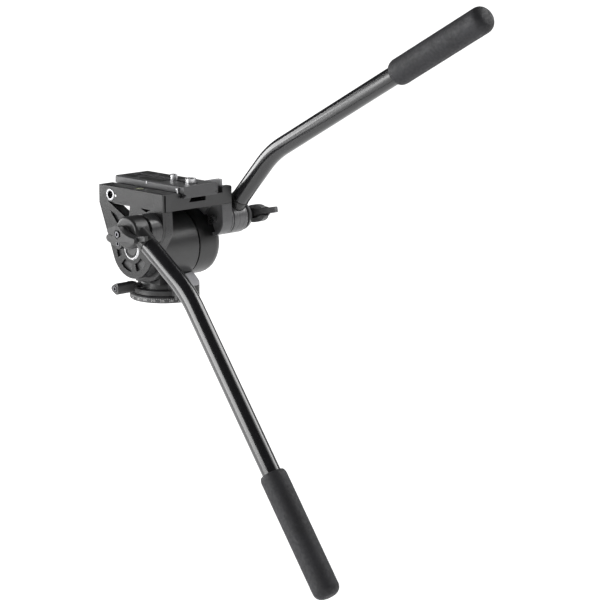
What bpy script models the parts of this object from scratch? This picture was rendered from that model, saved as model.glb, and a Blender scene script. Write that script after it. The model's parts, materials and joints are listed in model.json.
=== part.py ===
"""Fluid video head: pan base, tilt drum, cheeks, quick release platform and two pan handles.

Millimetre sizes are turned into metres by MM. +Y is the lens direction, +X the right side,
+Z up, and the origin is the centre of the face that sits on the tripod.
"""
import math

import bmesh
import bpy
from mathutils import Matrix, Vector

MM = 0.001
GAP = 0.3 * MM
OVERRUN = 2.0 * MM
SCREW_STEPS = 12
SMALL_STEPS = 20
MEDIUM_STEPS = 28
LARGE_STEPS = 40
EDGE_STEPS = 3
HEX_SOCKET_STEPS = 18
SHARP_ANGLE = math.radians(35)

# Base plate, spindle and scale ring
BASE_BODY_RADIUS = 25.5 * MM
BASE_BODY_HEIGHT = 5.5 * MM
RING_RADIUS = 30.5 * MM
RING_HEIGHT = 5.8 * MM
RING_CHAMFER = 1.2 * MM
SPINDLE_RADIUS = 9.3 * MM
SPINDLE_TOP = 15.0 * MM
TRIPOD_THREAD_RADIUS = 4.7625 * MM
INSERT_WALL = 2.2 * MM
INSERT_HEIGHT = 11.0 * MM
WASHER_INNER_RADIUS = 10.4 * MM
WASHER_OUTER_RADIUS = 22.0 * MM
WASHER_THICKNESS = 1.2 * MM
NUT_RADIUS = 13.0 * MM
NUT_HEIGHT = 3.5 * MM

# Pan housing
FLANGE_RADIUS = 28.0 * MM
FLANGE_TOP = 11.0 * MM
FLANGE_CHAMFER = 0.8 * MM
DOME_FOOT_RADIUS = 23.6 * MM
DOME_TOP_RADIUS = 19.5 * MM
DOME_TOP = 20.0 * MM
DOME_ARC_STEPS = 5
HOUSING_FLOOR_THICKNESS = 3.1 * MM
CAVITY_RADIUS = 14.2 * MM
CAVITY_TOP = 15.6 * MM
SADDLE_INSET = 5.7 * MM
SADDLE_HALF_DEPTH = 16.0 * MM
SADDLE_FLOOR = 1.9 * MM
SADDLE_HEIGHT = 10.5 * MM
CHIN_HALF_WIDTH = 13.0 * MM
CHIN_FRONT = 15.5 * MM
CHIN_REAR = 35.2 * MM
CHIN_TOP = 27.0 * MM
CHIN_TOP_REAR = 19.0 * MM
CHIN_SLOPE_FOOT = 14.5 * MM
CHIN_BOTTOM = 3.4 * MM
CHIN_CORNER = 6.0 * MM
CHIN_SLOT_X = 2.2 * MM
CHIN_SLOT_Y = -26.8 * MM
CHIN_SLOT_WIDTH = 1.8 * MM
CHIN_SLOT_LENGTH = 8.0 * MM
CHIN_SLOT_DEPTH = 2.5 * MM

# Tilt axis and drum
TILT_Y = -3.0 * MM
DRUM_RADIUS = 30.5 * MM
DRUM_CHEEK_CLEARANCE = 0.7 * MM
DRUM_RIGHT = 13.2 * MM
DRUM_WALL = 4.0 * MM
DRUM_EDGE = 0.6 * MM
SHAFT_RADIUS = 6.0 * MM
BEARING_RADIUS = 10.7 * MM
BEARING_WIDTH = 4.0 * MM
CARRIER_INSET = 3.2 * MM
CARRIER_THICKNESS = 4.6 * MM
PLATE_THICKNESS = 1.4 * MM
PLATE_PITCH = 4.0 * MM
PLATE_COUNT = 2
STATOR_INNER_RADIUS = 10.0 * MM
COMB_RIM = 2.0 * MM
ROTOR_RIM_CLEARANCE = 1.7 * MM
SPRING_RADIUS = 14.0 * MM
SPRING_WIRE_RADIUS = 1.1 * MM
SPRING_PITCH = 2.8 * MM
SPRING_TURNS = 3.0
SPRING_STEPS_PER_TURN = 14
WIRE_SIDES = 6
DRUM_SCREW_HEAD_RADIUS = 2.9 * MM
DRUM_SCREW_HEAD_HEIGHT = 2.0 * MM
DRUM_SCREW_RADIUS = 1.5 * MM
DRUM_SCREW_LENGTH = 7.0 * MM
DRUM_SCREW_INSET = 5.7 * MM
DRUM_SCREW_SPREAD = 8.0 * MM

# Tilt drag housing on the right of the drum
DRAG_STEP = 0.9 * MM
DRAG_SHOULDER = 8.5 * MM
DRAG_ROUNDING = 6.6 * MM
DRAG_WALL = 3.2 * MM
DRAG_CAVITY_DEPTH = 6.5 * MM
DRAG_FACE_THICKNESS = 6.2 * MM

# Platform, a channel that carries the sliding plate
PLATFORM_SIDE_WALL = 10.5 * MM
PLATFORM_FRONT = 40.0 * MM
PLATFORM_REAR = 44.0 * MM
PLATFORM_DRUM_CLEARANCE = 5.8 * MM
PLATFORM_HEIGHT = 15.3 * MM
PLATFORM_EDGE = 1.0 * MM
CHANNEL_DEPTH = 5.2 * MM
JAW_WIDTH = 5.0 * MM
NOTCH_WIDTH = 5.0 * MM
WINDOW_DEPTH = 4.4 * MM
WINDOW_HALF_WIDTH = 9.5 * MM
WINDOW_SLOPE = 3.0 * MM

# Quick release plate and what it carries
PLATE_HALF_WIDTH = 19.0 * MM
PLATE_FRONT = 42.5 * MM
PLATE_REAR = 48.5 * MM
PLATE_HEIGHT = 10.3 * MM
PLATE_EDGE = 0.9 * MM
GROOVE_RISE = 4.5 * MM
GROOVE_HEIGHT = 3.4 * MM
GROOVE_DEPTH = 2.6 * MM
GROOVE_FLAT = 0.6 * MM
SLOT_FRONT = 36.0 * MM
SLOT_REAR = 38.0 * MM
REAR_SLOT_FRONT = 28.0 * MM
REAR_SLOT_REAR = 42.5 * MM
COUNTERBORE_HALF_WIDTH = 8.6 * MM
COUNTERBORE_DEPTH = 4.0 * MM
COUNTERBORE_END = 1.6 * MM
QUARTER_RADIUS = 3.175 * MM
QUARTER_Y = -13.5 * MM
QUARTER_RISE = 5.2 * MM
THREE_EIGHTHS_RADIUS = 4.7625 * MM
THREE_EIGHTHS_Y = -35.5 * MM
THREE_EIGHTHS_RISE = 4.2 * MM
STUD_HEAD_RADIUS = 7.4 * MM
STUD_HEAD_HEIGHT = 2.9 * MM
STUD_SLOT_WIDTH = 1.1 * MM
STUD_SLOT_DEPTH = 1.3 * MM
PAD_THICKNESS = 0.7 * MM
PAD_HALF_WIDTH = 4.4 * MM
PAD_INSET = 8.0 * MM
FRONT_PAD_HALF_LENGTH = 8.0 * MM
FRONT_PAD_Y = 32.0 * MM
REAR_PAD_HALF_LENGTH = 15.0 * MM
REAR_PAD_Y = 2.0 * MM

# Lock lever of the platform, safety pin, level and accessory socket
LOCK_HUB_RADIUS = 5.2 * MM
LOCK_HUB_INSET = 5.6 * MM
LOCK_HUB_Y = -2.0 * MM
LOCK_RECESS_DEPTH = 2.6 * MM
LOCK_ARM_RISE = 4.8 * MM
LOCK_ARM_LENGTH = 32.0 * MM
LOCK_ARM_CREST = 4.0 * MM
LOCK_ROOT_HALF_WIDTH = 3.6 * MM
LOCK_TIP_HALF_WIDTH = 3.0 * MM
LOCK_RECESS_MARGIN = 1.5 * MM
LOCK_BOLT_RADIUS = 1.8 * MM
LOCK_BOLT_HEAD_RADIUS = 3.2 * MM
LOCK_BOLT_HEAD_HEIGHT = 1.2 * MM
LOCK_BOLT_PROUD = 0.3 * MM
LOCK_BOLT_DEPTH = 8.0 * MM
PIN_RADIUS = 1.2 * MM
PIN_OFFSET = 1.6 * MM
PIN_Y = -41.5 * MM
PIN_RISE = 4.0 * MM
PIN_LENGTH = 9.0 * MM
PIN_WELL_DEPTH = 12.5 * MM
PIN_SPRING_WIRE = 0.3 * MM
PIN_SPRING_TURNS = 3.0
LEVEL_INSET = 8.5 * MM
LEVEL_Y = -4.0 * MM
LEVEL_RADIUS = 4.6 * MM
LEVEL_RIM = 0.9 * MM
LEVEL_DEPTH = 3.2 * MM
LEVEL_PROUD = 0.3 * MM
SOCKET_Y = 25.0 * MM
SOCKET_DROP = 7.6 * MM
SOCKET_RADIUS = 5.2 * MM
SOCKET_BORE = 3.3 * MM
SOCKET_DEPTH = 9.0 * MM
SOCKET_PROUD = 0.4 * MM
TWIST_PIN_RADIUS = 1.1 * MM
TWIST_PIN_OFFSET = 7.0 * MM

# Cheeks and side plate
CHEEK_THICKNESS = 8.7 * MM
SIDE_PLATE_THICKNESS = 2.1 * MM
CHEEK_DISC_STEP = 4.5 * MM
LOBE_RADIUS = 14.0 * MM
RIGHT_RECESS_RADIUS = 11.0 * MM
RIGHT_RECESS_DEPTH = 3.0 * MM
ROSETTE_CLEARANCE = 5.4 * MM
ROSETTE_REAR_SHARE = 0.8
ROSETTE_RISE_SHARE = 0.6
PANEL_RISE = 1.7 * MM
CHEEK_BEVEL = 0.8 * MM
ARC_STEPS = 40
FRONT_WINDOW_SHARES = ((0.86, 1.0), (0.51, 1.0), (0.53, 0.79))
REAR_WINDOW_SHARES = ((0.35, 0.985), (0.18, 0.985), (0.25, 0.94))
FRONT_POCKET_SHARES = ((0.83, 0.88), (0.585, 0.775), (0.715, 0.715))
POCKET_RIM = 5.5 * MM
POCKET_WIDTH = 7.5 * MM
POCKET_SPANS = ((-150.0, -108.0), (-88.0, -46.0), (-28.0, 4.0))
AXIS_RING_INNER = 6.7 * MM
AXIS_RING_OUTER = 8.2 * MM
AXIS_HOLE_RADIUS = 8.5 * MM
SIDE_SCREW_RADIUS = 1.5 * MM
SIDE_SCREW_HEAD_RADIUS = 2.8 * MM
SIDE_SCREW_HEAD = 1.8 * MM
SIDE_SCREW_COVER = 1.0 * MM
FRONT_SCREW_SHARES = (0.91, 0.93)
REAR_SCREW_SHARES = (0.42, 0.83)

# Rosettes that the handles clamp on
LEFT_BOSS_LENGTH = 12.0 * MM
RIGHT_BOSS_LENGTH = 2.2 * MM
ROSETTE_TEETH = 36
TOOTH_HEIGHT = 0.5 * MM
TOOTH_INNER_SHARE = 0.55
ROSETTE_BOLT_RADIUS = 3.0 * MM
ROSETTE_HEAD_RADIUS = 4.2 * MM
ROSETTE_HEAD_HEIGHT = 2.0 * MM

# Handles
CLAMP_RADIUS = 14.0 * MM
CLAMP_THICKNESS = 17.0 * MM
CLAMP_EDGE = 2.4 * MM
CLAMP_NECK_RADIUS = 12.2 * MM
CLAMP_NECK_WIDTH = 2.2 * MM
COLLAR_RADIUS = 8.4 * MM
COLLAR_START = 5.0 * MM
COLLAR_REACH = 22.0 * MM
COLLAR_EDGE = 0.8 * MM
SPIGOT_LENGTH = 16.0 * MM
TUBE_RADIUS = 8.0 * MM
TUBE_WALL = 1.5 * MM
TUBE_SIDES = 18
TUBE_OFFSET = 3.8 * MM
BEND_DISTANCE = 81.5 * MM
BEND_RADIUS = 95.0 * MM
BEND_ANGLE = math.radians(18.6)
BEND_STEPS = 6
GRIP_START = 170.0 * MM
GRIP_END = 282.0 * MM
GRIP_RADIUS = 11.6 * MM
GRIP_MOUTH_RADIUS = 10.6 * MM
GRIP_MOUTH_LENGTH = 3.0 * MM
GRIP_CAP_ROUND = 7.5 * MM
GRIP_CAP_THICKNESS = 6.0 * MM
GRIP_ROUND_STEPS = 5
LEFT_HANDLE_DROP = math.radians(34.3)
RIGHT_HANDLE_DROP = math.radians(-47.0)

# Clamp levers of the handles
LEVER_FLANGE_RADIUS = 9.5 * MM
LEVER_FLANGE_THICKNESS = 1.8 * MM
RIGHT_COLLAR_RADIUS = 12.7 * MM
RIGHT_COLLAR_THICKNESS = 5.6 * MM
RIGHT_COLLAR_CHAMFER = 2.2 * MM
RIGHT_COLLAR_NECK_RADIUS = 10.6 * MM
RIGHT_COLLAR_NECK_WIDTH = 2.2 * MM
LEVER_WAIST_RADIUS = 5.2 * MM
LEVER_HEAD_RADIUS = 6.8 * MM
LEVER_HEAD_THICKNESS = 4.6 * MM
LEFT_HUB_LENGTH = 9.4 * MM
RIGHT_HUB_LENGTH = 11.8 * MM
LEVER_ARM_LENGTH = 27.0 * MM
LEVER_WING_SHARE = 0.55
LEVER_WING_HALF_WIDTH = 5.6 * MM
LEVER_TIP_HALF_WIDTH = 3.0 * MM
LEVER_SCREW_RADIUS = 2.6 * MM
LEVER_SCREW_PROUD = 0.5 * MM
LEVER_SCREW_DEPTH = 4.0 * MM
HEX_RADIUS = 1.4 * MM
HEX_DEPTH = 1.2 * MM
LEFT_LEVER_DROP = math.radians(24.5)
RIGHT_LEVER_DROP = math.radians(-13.0)

# Tilt lock lever and pan lock knob
TILT_LOCK_FORWARD = 10.4 * MM
TILT_LOCK_RAISE = 3.9 * MM
TILT_LOCK_HUB_RADIUS = 4.8 * MM
TILT_LOCK_LENGTH = 6.4 * MM
TILT_LOCK_ARM = 13.6 * MM
TILT_LOCK_TIP = 3.1 * MM
TILT_LOCK_ARM_THICKNESS = 4.4 * MM
TILT_LOCK_RISE = math.radians(15.0)
TILT_LOCK_STUD_RADIUS = 1.8 * MM
TILT_LOCK_STUD_DEPTH = 7.0 * MM
TILT_LOCK_SCREW_RADIUS = 2.2 * MM
TILT_LOCK_SCREW_DEPTH = 2.4 * MM
PAN_KNOB_Y = 6.0 * MM
PAN_KNOB_Z = 13.2 * MM
PAN_KNOB_NEAR = 32.0 * MM
PAN_KNOB_FAR = 51.0 * MM
PAN_KNOB_RADIUS = 4.7 * MM
PAN_KNOB_LOBE = 0.7 * MM
PAN_KNOB_LOBES = 3
PAN_STUD_RADIUS = 2.0 * MM
PAN_STUD_INNER = 17.5 * MM
PAN_STUD_EMBED = 6.0 * MM

# Colours of the finishes
BLACK = (0.018, 0.018, 0.020, 1.0)
GLOSS_BLACK = (0.012, 0.012, 0.013, 1.0)
FOAM_BLACK = (0.022, 0.022, 0.024, 1.0)
RUBBER_BLACK = (0.030, 0.030, 0.032, 1.0)
STEEL = (0.62, 0.62, 0.63, 1.0)
BRASS = (0.62, 0.47, 0.22, 1.0)
PLASTIC_IVORY = (0.55, 0.52, 0.44, 1.0)
LEVEL_GREEN = (0.55, 0.62, 0.10, 1.0)

X_AXIS = Vector((1, 0, 0))
Z_AXIS = Vector((0, 0, 1))

# Widths, from the plate outwards to the cheeks and back in to the drum
JAW_OUTER = PLATE_HALF_WIDTH + JAW_WIDTH
NOTCH_OUTER = JAW_OUTER + NOTCH_WIDTH
PLATFORM_HALF_WIDTH = NOTCH_OUTER + PLATFORM_SIDE_WALL
LEFT_PANEL = PLATFORM_HALF_WIDTH
SIDE_PLATE_INNER = LEFT_PANEL - SIDE_PLATE_THICKNESS
CHEEK_OUTER = SIDE_PLATE_INNER - GAP
CHEEK_INNER = CHEEK_OUTER - CHEEK_THICKNESS
DRUM_LEFT = CHEEK_INNER - DRUM_CHEEK_CLEARANCE
SADDLE_LEFT = DRUM_LEFT - SADDLE_INSET
SADDLE_RIGHT = DRUM_RIGHT - DRUM_EDGE
CARRIER_RIGHT = DRUM_RIGHT - CARRIER_INSET
DRUM_SCREW_X = DRUM_LEFT - DRUM_WALL - DRUM_SCREW_INSET
DRAG_RIGHT = PLATFORM_HALF_WIDTH - GAP
LOCK_HUB_X = PLATFORM_HALF_WIDTH - LOCK_HUB_INSET
PAD_CENTRE_X = PLATE_HALF_WIDTH - PAD_INSET
PIN_X = PLATE_HALF_WIDTH + PIN_OFFSET
LEVEL_X = LEFT_PANEL - LEVEL_INSET

# Round sizes that follow the drum
DRAG_RADIUS = DRUM_RADIUS - DRAG_STEP
DRAG_FACE_RADIUS = DRAG_RADIUS - DRAG_ROUNDING
ROTOR_OUTER_RADIUS = DRUM_RADIUS - DRUM_WALL - GAP - COMB_RIM - ROTOR_RIM_CLEARANCE
CHEEK_DISC_RADIUS = DRUM_RADIUS - CHEEK_DISC_STEP
POCKET_OUTER_RADIUS = CHEEK_DISC_RADIUS - POCKET_RIM
POCKET_INNER_RADIUS = POCKET_OUTER_RADIUS - POCKET_WIDTH

# Heights, from the housing up over the drum to the plate
DRUM_FLOOR = CAVITY_TOP + SADDLE_FLOOR
SADDLE_TOP = DRUM_FLOOR + SADDLE_HEIGHT
TILT_Z = DRUM_FLOOR + DRUM_RADIUS
TILT_POINT = Vector((0, TILT_Y, TILT_Z))
ROSETTE_REACH = DRAG_RADIUS + ROSETTE_CLEARANCE
ROSETTE_Y = TILT_Y - ROSETTE_REAR_SHARE * ROSETTE_REACH
ROSETTE_Z = TILT_Z + ROSETTE_RISE_SHARE * ROSETTE_REACH
ROSETTE_POINT = Vector((0, ROSETTE_Y, ROSETTE_Z))
TILT_LOCK_Y = TILT_Y + TILT_LOCK_FORWARD
TILT_LOCK_Z = TILT_Z + TILT_LOCK_RAISE
PLATFORM_BOTTOM = TILT_Z + DRUM_RADIUS + PLATFORM_DRUM_CLEARANCE
PLATFORM_TOP = PLATFORM_BOTTOM + PLATFORM_HEIGHT
PANEL_BOTTOM = PLATFORM_BOTTOM + PANEL_RISE
CHANNEL_FLOOR = PLATFORM_TOP - CHANNEL_DEPTH
WINDOW_FLOOR = CHANNEL_FLOOR - WINDOW_DEPTH
PLATE_TOP = CHANNEL_FLOOR + GAP + PLATE_HEIGHT
GROOVE_TOP = CHANNEL_FLOOR + GROOVE_RISE
LOCK_SEAT = PLATFORM_TOP - LOCK_RECESS_DEPTH
LOCK_HUB_TOP = PLATFORM_TOP - GAP
LOCK_ARM_TOP = PLATFORM_TOP + LOCK_ARM_RISE
PIN_TOP = PLATFORM_TOP + PIN_RISE
SOCKET_Z = PLATFORM_TOP - SOCKET_DROP

# Where the handles' clamps begin
LEFT_CLAMP_NEAR = LEFT_PANEL + GAP + LEFT_BOSS_LENGTH + GAP
RIGHT_CLAMP_NEAR = PLATFORM_HALF_WIDTH + GAP + RIGHT_BOSS_LENGTH + GAP


def clear_scene():
    for item in list(bpy.data.objects):
        bpy.data.objects.remove(item)


def finish_material(item, colour, roughness, metallic):
    surface = bpy.data.materials.new(item.name + "_finish")
    surface.use_nodes = True
    shader = surface.node_tree.nodes["Principled BSDF"]
    shader.inputs["Base Color"].default_value = colour
    shader.inputs["Roughness"].default_value = roughness
    shader.inputs["Metallic"].default_value = metallic
    item.data.materials.clear()
    item.data.materials.append(surface)


def painted(item):
    finish_material(item, BLACK, 0.42, 0.3)


def steel(item):
    finish_material(item, STEEL, 0.25, 1.0)


def rubber(item):
    finish_material(item, RUBBER_BLACK, 0.85, 0.0)


def object_from(name, mesh_data):
    bmesh.ops.recalc_face_normals(mesh_data, faces=mesh_data.faces)
    mesh = bpy.data.meshes.new(name)
    mesh_data.to_mesh(mesh)
    mesh_data.free()
    item = bpy.data.objects.new(name, mesh)
    bpy.context.scene.collection.objects.link(item)
    return item


def loft(mesh_data, rings, closed):
    """Skin a list of vertex rings; a ring of one vertex is a pole."""
    pairs = list(zip(rings, rings[1:]))
    if closed:
        pairs.append((rings[-1], rings[0]))
    for first, second in pairs:
        count = max(len(first), len(second))
        if count == 1:
            continue
        for k in range(count):
            corners = [first[k % len(first)], first[(k + 1) % len(first)],
                       second[(k + 1) % len(second)], second[k % len(second)]]
            unique = list(dict.fromkeys(corners))
            mesh_data.faces.new(unique)


def turned(name, outline, origin, direction, steps):
    """Turn a closed (radius, distance) outline about a line through origin."""
    frame = Matrix.Translation(origin) @ direction.to_track_quat("Z", "Y").to_matrix().to_4x4()
    mesh_data = bmesh.new()
    rings = []
    for radius, distance in outline:
        if radius == 0:
            rings.append([mesh_data.verts.new(frame @ Vector((0, 0, distance)))])
            continue
        angles = [math.tau * k / steps for k in range(steps)]
        rings.append([mesh_data.verts.new(frame @ Vector((radius * math.cos(a), radius * math.sin(a),
                                                          distance))) for a in angles])
    loft(mesh_data, rings, closed=True)
    return object_from(name, mesh_data)


def cylinder(name, radius, origin, direction, start, end, steps=MEDIUM_STEPS):
    outline = [(0, start), (radius, start), (radius, end), (0, end)]
    return turned(name, outline, origin, direction, steps)


def ring(name, inner, outer, origin, direction, start, end, steps=MEDIUM_STEPS):
    outline = [(inner, start), (outer, start), (outer, end), (inner, end)]
    return turned(name, outline, origin, direction, steps)


def slab(name, outline, axis, start, end):
    """Extrude a closed outline of two coordinates along the axis X, Y or Z."""
    mesh_data = bmesh.new()
    rings = []
    for level in (start, end):
        if axis == "X":
            points = [(level, u, v) for u, v in outline]
        elif axis == "Y":
            points = [(u, level, v) for u, v in outline]
        else:
            points = [(u, v, level) for u, v in outline]
        rings.append([mesh_data.verts.new(point) for point in points])
    loft(mesh_data, rings, closed=False)
    mesh_data.faces.new(rings[0])
    mesh_data.faces.new(rings[1])
    return object_from(name, mesh_data)


def box(name, low, high):
    outline = [(low[0], low[1]), (high[0], low[1]), (high[0], high[1]), (low[0], high[1])]
    return slab(name, outline, "Z", low[2], high[2])


def apply_boolean(target, tool, operation):
    modifier = target.modifiers.new(operation.lower(), "BOOLEAN")
    modifier.operation = operation
    modifier.object = tool
    modifier.solver = "EXACT"
    graph = bpy.context.evaluated_depsgraph_get()
    result = bpy.data.meshes.new_from_object(target.evaluated_get(graph))
    target.modifiers.clear()
    target.data = result
    bpy.data.objects.remove(tool)
    return target


def cut(target, *tools):
    for tool in tools:
        apply_boolean(target, tool, "DIFFERENCE")
    return target


def fuse(target, *tools):
    for tool in tools:
        apply_boolean(target, tool, "UNION")
    return target


def smooth(item):
    item.data.shade_smooth()
    item.data.set_sharp_from_angle(angle=SHARP_ANGLE)
    return item


def carrier(name, point, parent=None):
    """An empty on a joint axis; what it carries turns or slides with it."""
    empty = bpy.data.objects.new(name, None)
    bpy.context.scene.collection.objects.link(empty)
    empty.empty_display_size = LOBE_RADIUS
    offset = Vector(point)
    if parent is not None:
        empty.parent = parent
        offset = offset - world_point(parent)
    empty.location = offset
    return empty


def world_point(empty):
    place = Vector((0, 0, 0))
    while empty is not None:
        place = place + empty.location
        empty = empty.parent
    return place


def carry(empty, *pieces):
    shift = Matrix.Translation(-world_point(empty))
    for piece in pieces:
        piece.data.transform(shift)
        piece.parent = empty


def arc_points(centre, radius, start, end, steps):
    angles = [math.radians(start + (end - start) * k / steps) for k in range(steps + 1)]
    return [(centre[0] + radius * math.cos(a), centre[1] + radius * math.sin(a)) for a in angles]


def hull(points):
    """Outer outline of a set of two-coordinate points, counter-clockwise."""
    ordered = sorted(set(points))

    def half(sequence):
        chain = []
        for point in sequence:
            while len(chain) > 1:
                (ax, ay), (bx, by) = chain[-2], chain[-1]
                if (bx - ax) * (point[1] - ay) - (by - ay) * (point[0] - ax) > 0:
                    break
                chain.pop()
            chain.append(point)
        return chain[:-1]

    return half(ordered) + half(reversed(ordered))


def capsule(start, end, start_radius, end_radius, steps=SMALL_STEPS):
    """Outline of two circles and the flat flanks between them."""
    return hull(arc_points(start, start_radius, 0, 360, steps) + arc_points(end, end_radius, 0, 360, steps))


def coil(name, centre, direction, radius, wire, pitch, turns):
    """One unbroken helical wire about a line, its ends cut square."""
    frame = Matrix.Translation(centre) @ direction.to_track_quat("Z", "Y").to_matrix().to_4x4()
    count = int(turns * SPRING_STEPS_PER_TURN)
    mesh_data = bmesh.new()
    rings = []
    for k in range(count + 1):
        angle = math.tau * turns * k / count
        outward = Vector((math.cos(angle), math.sin(angle), 0))
        along = Vector((-radius * math.sin(angle), radius * math.cos(angle), pitch / math.tau)).normalized()
        side = along.cross(outward)
        middle = outward * radius + Z_AXIS * (pitch * turns * k / count)
        spots = [math.tau * j / WIRE_SIDES for j in range(WIRE_SIDES)]
        rings.append([mesh_data.verts.new(frame @ (middle + (outward * math.cos(s)
                                                            + side * math.sin(s)) * wire)) for s in spots])
    loft(mesh_data, rings, closed=False)
    mesh_data.faces.new(rings[0])
    mesh_data.faces.new(rings[-1])
    least = pitch - 2 * wire
    print("least gap between turns of %s is %.2f mm" % (name, least / MM))
    return smooth(object_from(name, mesh_data))


def build_base():
    insert_radius = TRIPOD_THREAD_RADIUS + INSERT_WALL
    bore = insert_radius + GAP
    plate_outline = [(bore, 0), (BASE_BODY_RADIUS, 0), (BASE_BODY_RADIUS, BASE_BODY_HEIGHT),
                     (SPINDLE_RADIUS, BASE_BODY_HEIGHT), (SPINDLE_RADIUS, SPINDLE_TOP), (bore, SPINDLE_TOP)]
    plate = smooth(turned("base_plate", plate_outline, Vector(), Z_AXIS, LARGE_STEPS))
    painted(plate)
    insert = smooth(ring("tripod_thread_insert", TRIPOD_THREAD_RADIUS, insert_radius, Vector(), Z_AXIS,
                         0, INSERT_HEIGHT, SMALL_STEPS))
    steel(insert)
    inner = BASE_BODY_RADIUS + GAP
    scale_outline = [(inner, 0), (RING_RADIUS - RING_CHAMFER, 0), (RING_RADIUS, RING_CHAMFER),
                     (RING_RADIUS, RING_HEIGHT - RING_CHAMFER), (RING_RADIUS - RING_CHAMFER, RING_HEIGHT),
                     (inner, RING_HEIGHT)]
    scale = smooth(turned("pan_scale_ring", scale_outline, Vector(), Z_AXIS, LARGE_STEPS))
    painted(scale)
    washer_bottom = BASE_BODY_HEIGHT + GAP
    washer = smooth(ring("pan_friction_washer", WASHER_INNER_RADIUS, WASHER_OUTER_RADIUS, Vector(), Z_AXIS,
                         washer_bottom, washer_bottom + WASHER_THICKNESS, LARGE_STEPS))
    finish_material(washer, PLASTIC_IVORY, 0.5, 0.0)
    nut_bottom = washer_bottom + WASHER_THICKNESS + GAP + HOUSING_FLOOR_THICKNESS + GAP
    nut = smooth(ring("pan_retaining_nut", SPINDLE_RADIUS + GAP, NUT_RADIUS, Vector(), Z_AXIS,
                      nut_bottom, nut_bottom + NUT_HEIGHT, SMALL_STEPS))
    steel(nut)


def dome_outline():
    """Quarter ellipse from the foot of the dome up to its flat top."""
    points = []
    for k in range(DOME_ARC_STEPS + 1):
        share = math.radians(90) * k / DOME_ARC_STEPS
        radius = DOME_TOP_RADIUS + (DOME_FOOT_RADIUS - DOME_TOP_RADIUS) * math.cos(share)
        points.append((radius, FLANGE_TOP + (DOME_TOP - FLANGE_TOP) * math.sin(share)))
    return points


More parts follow.
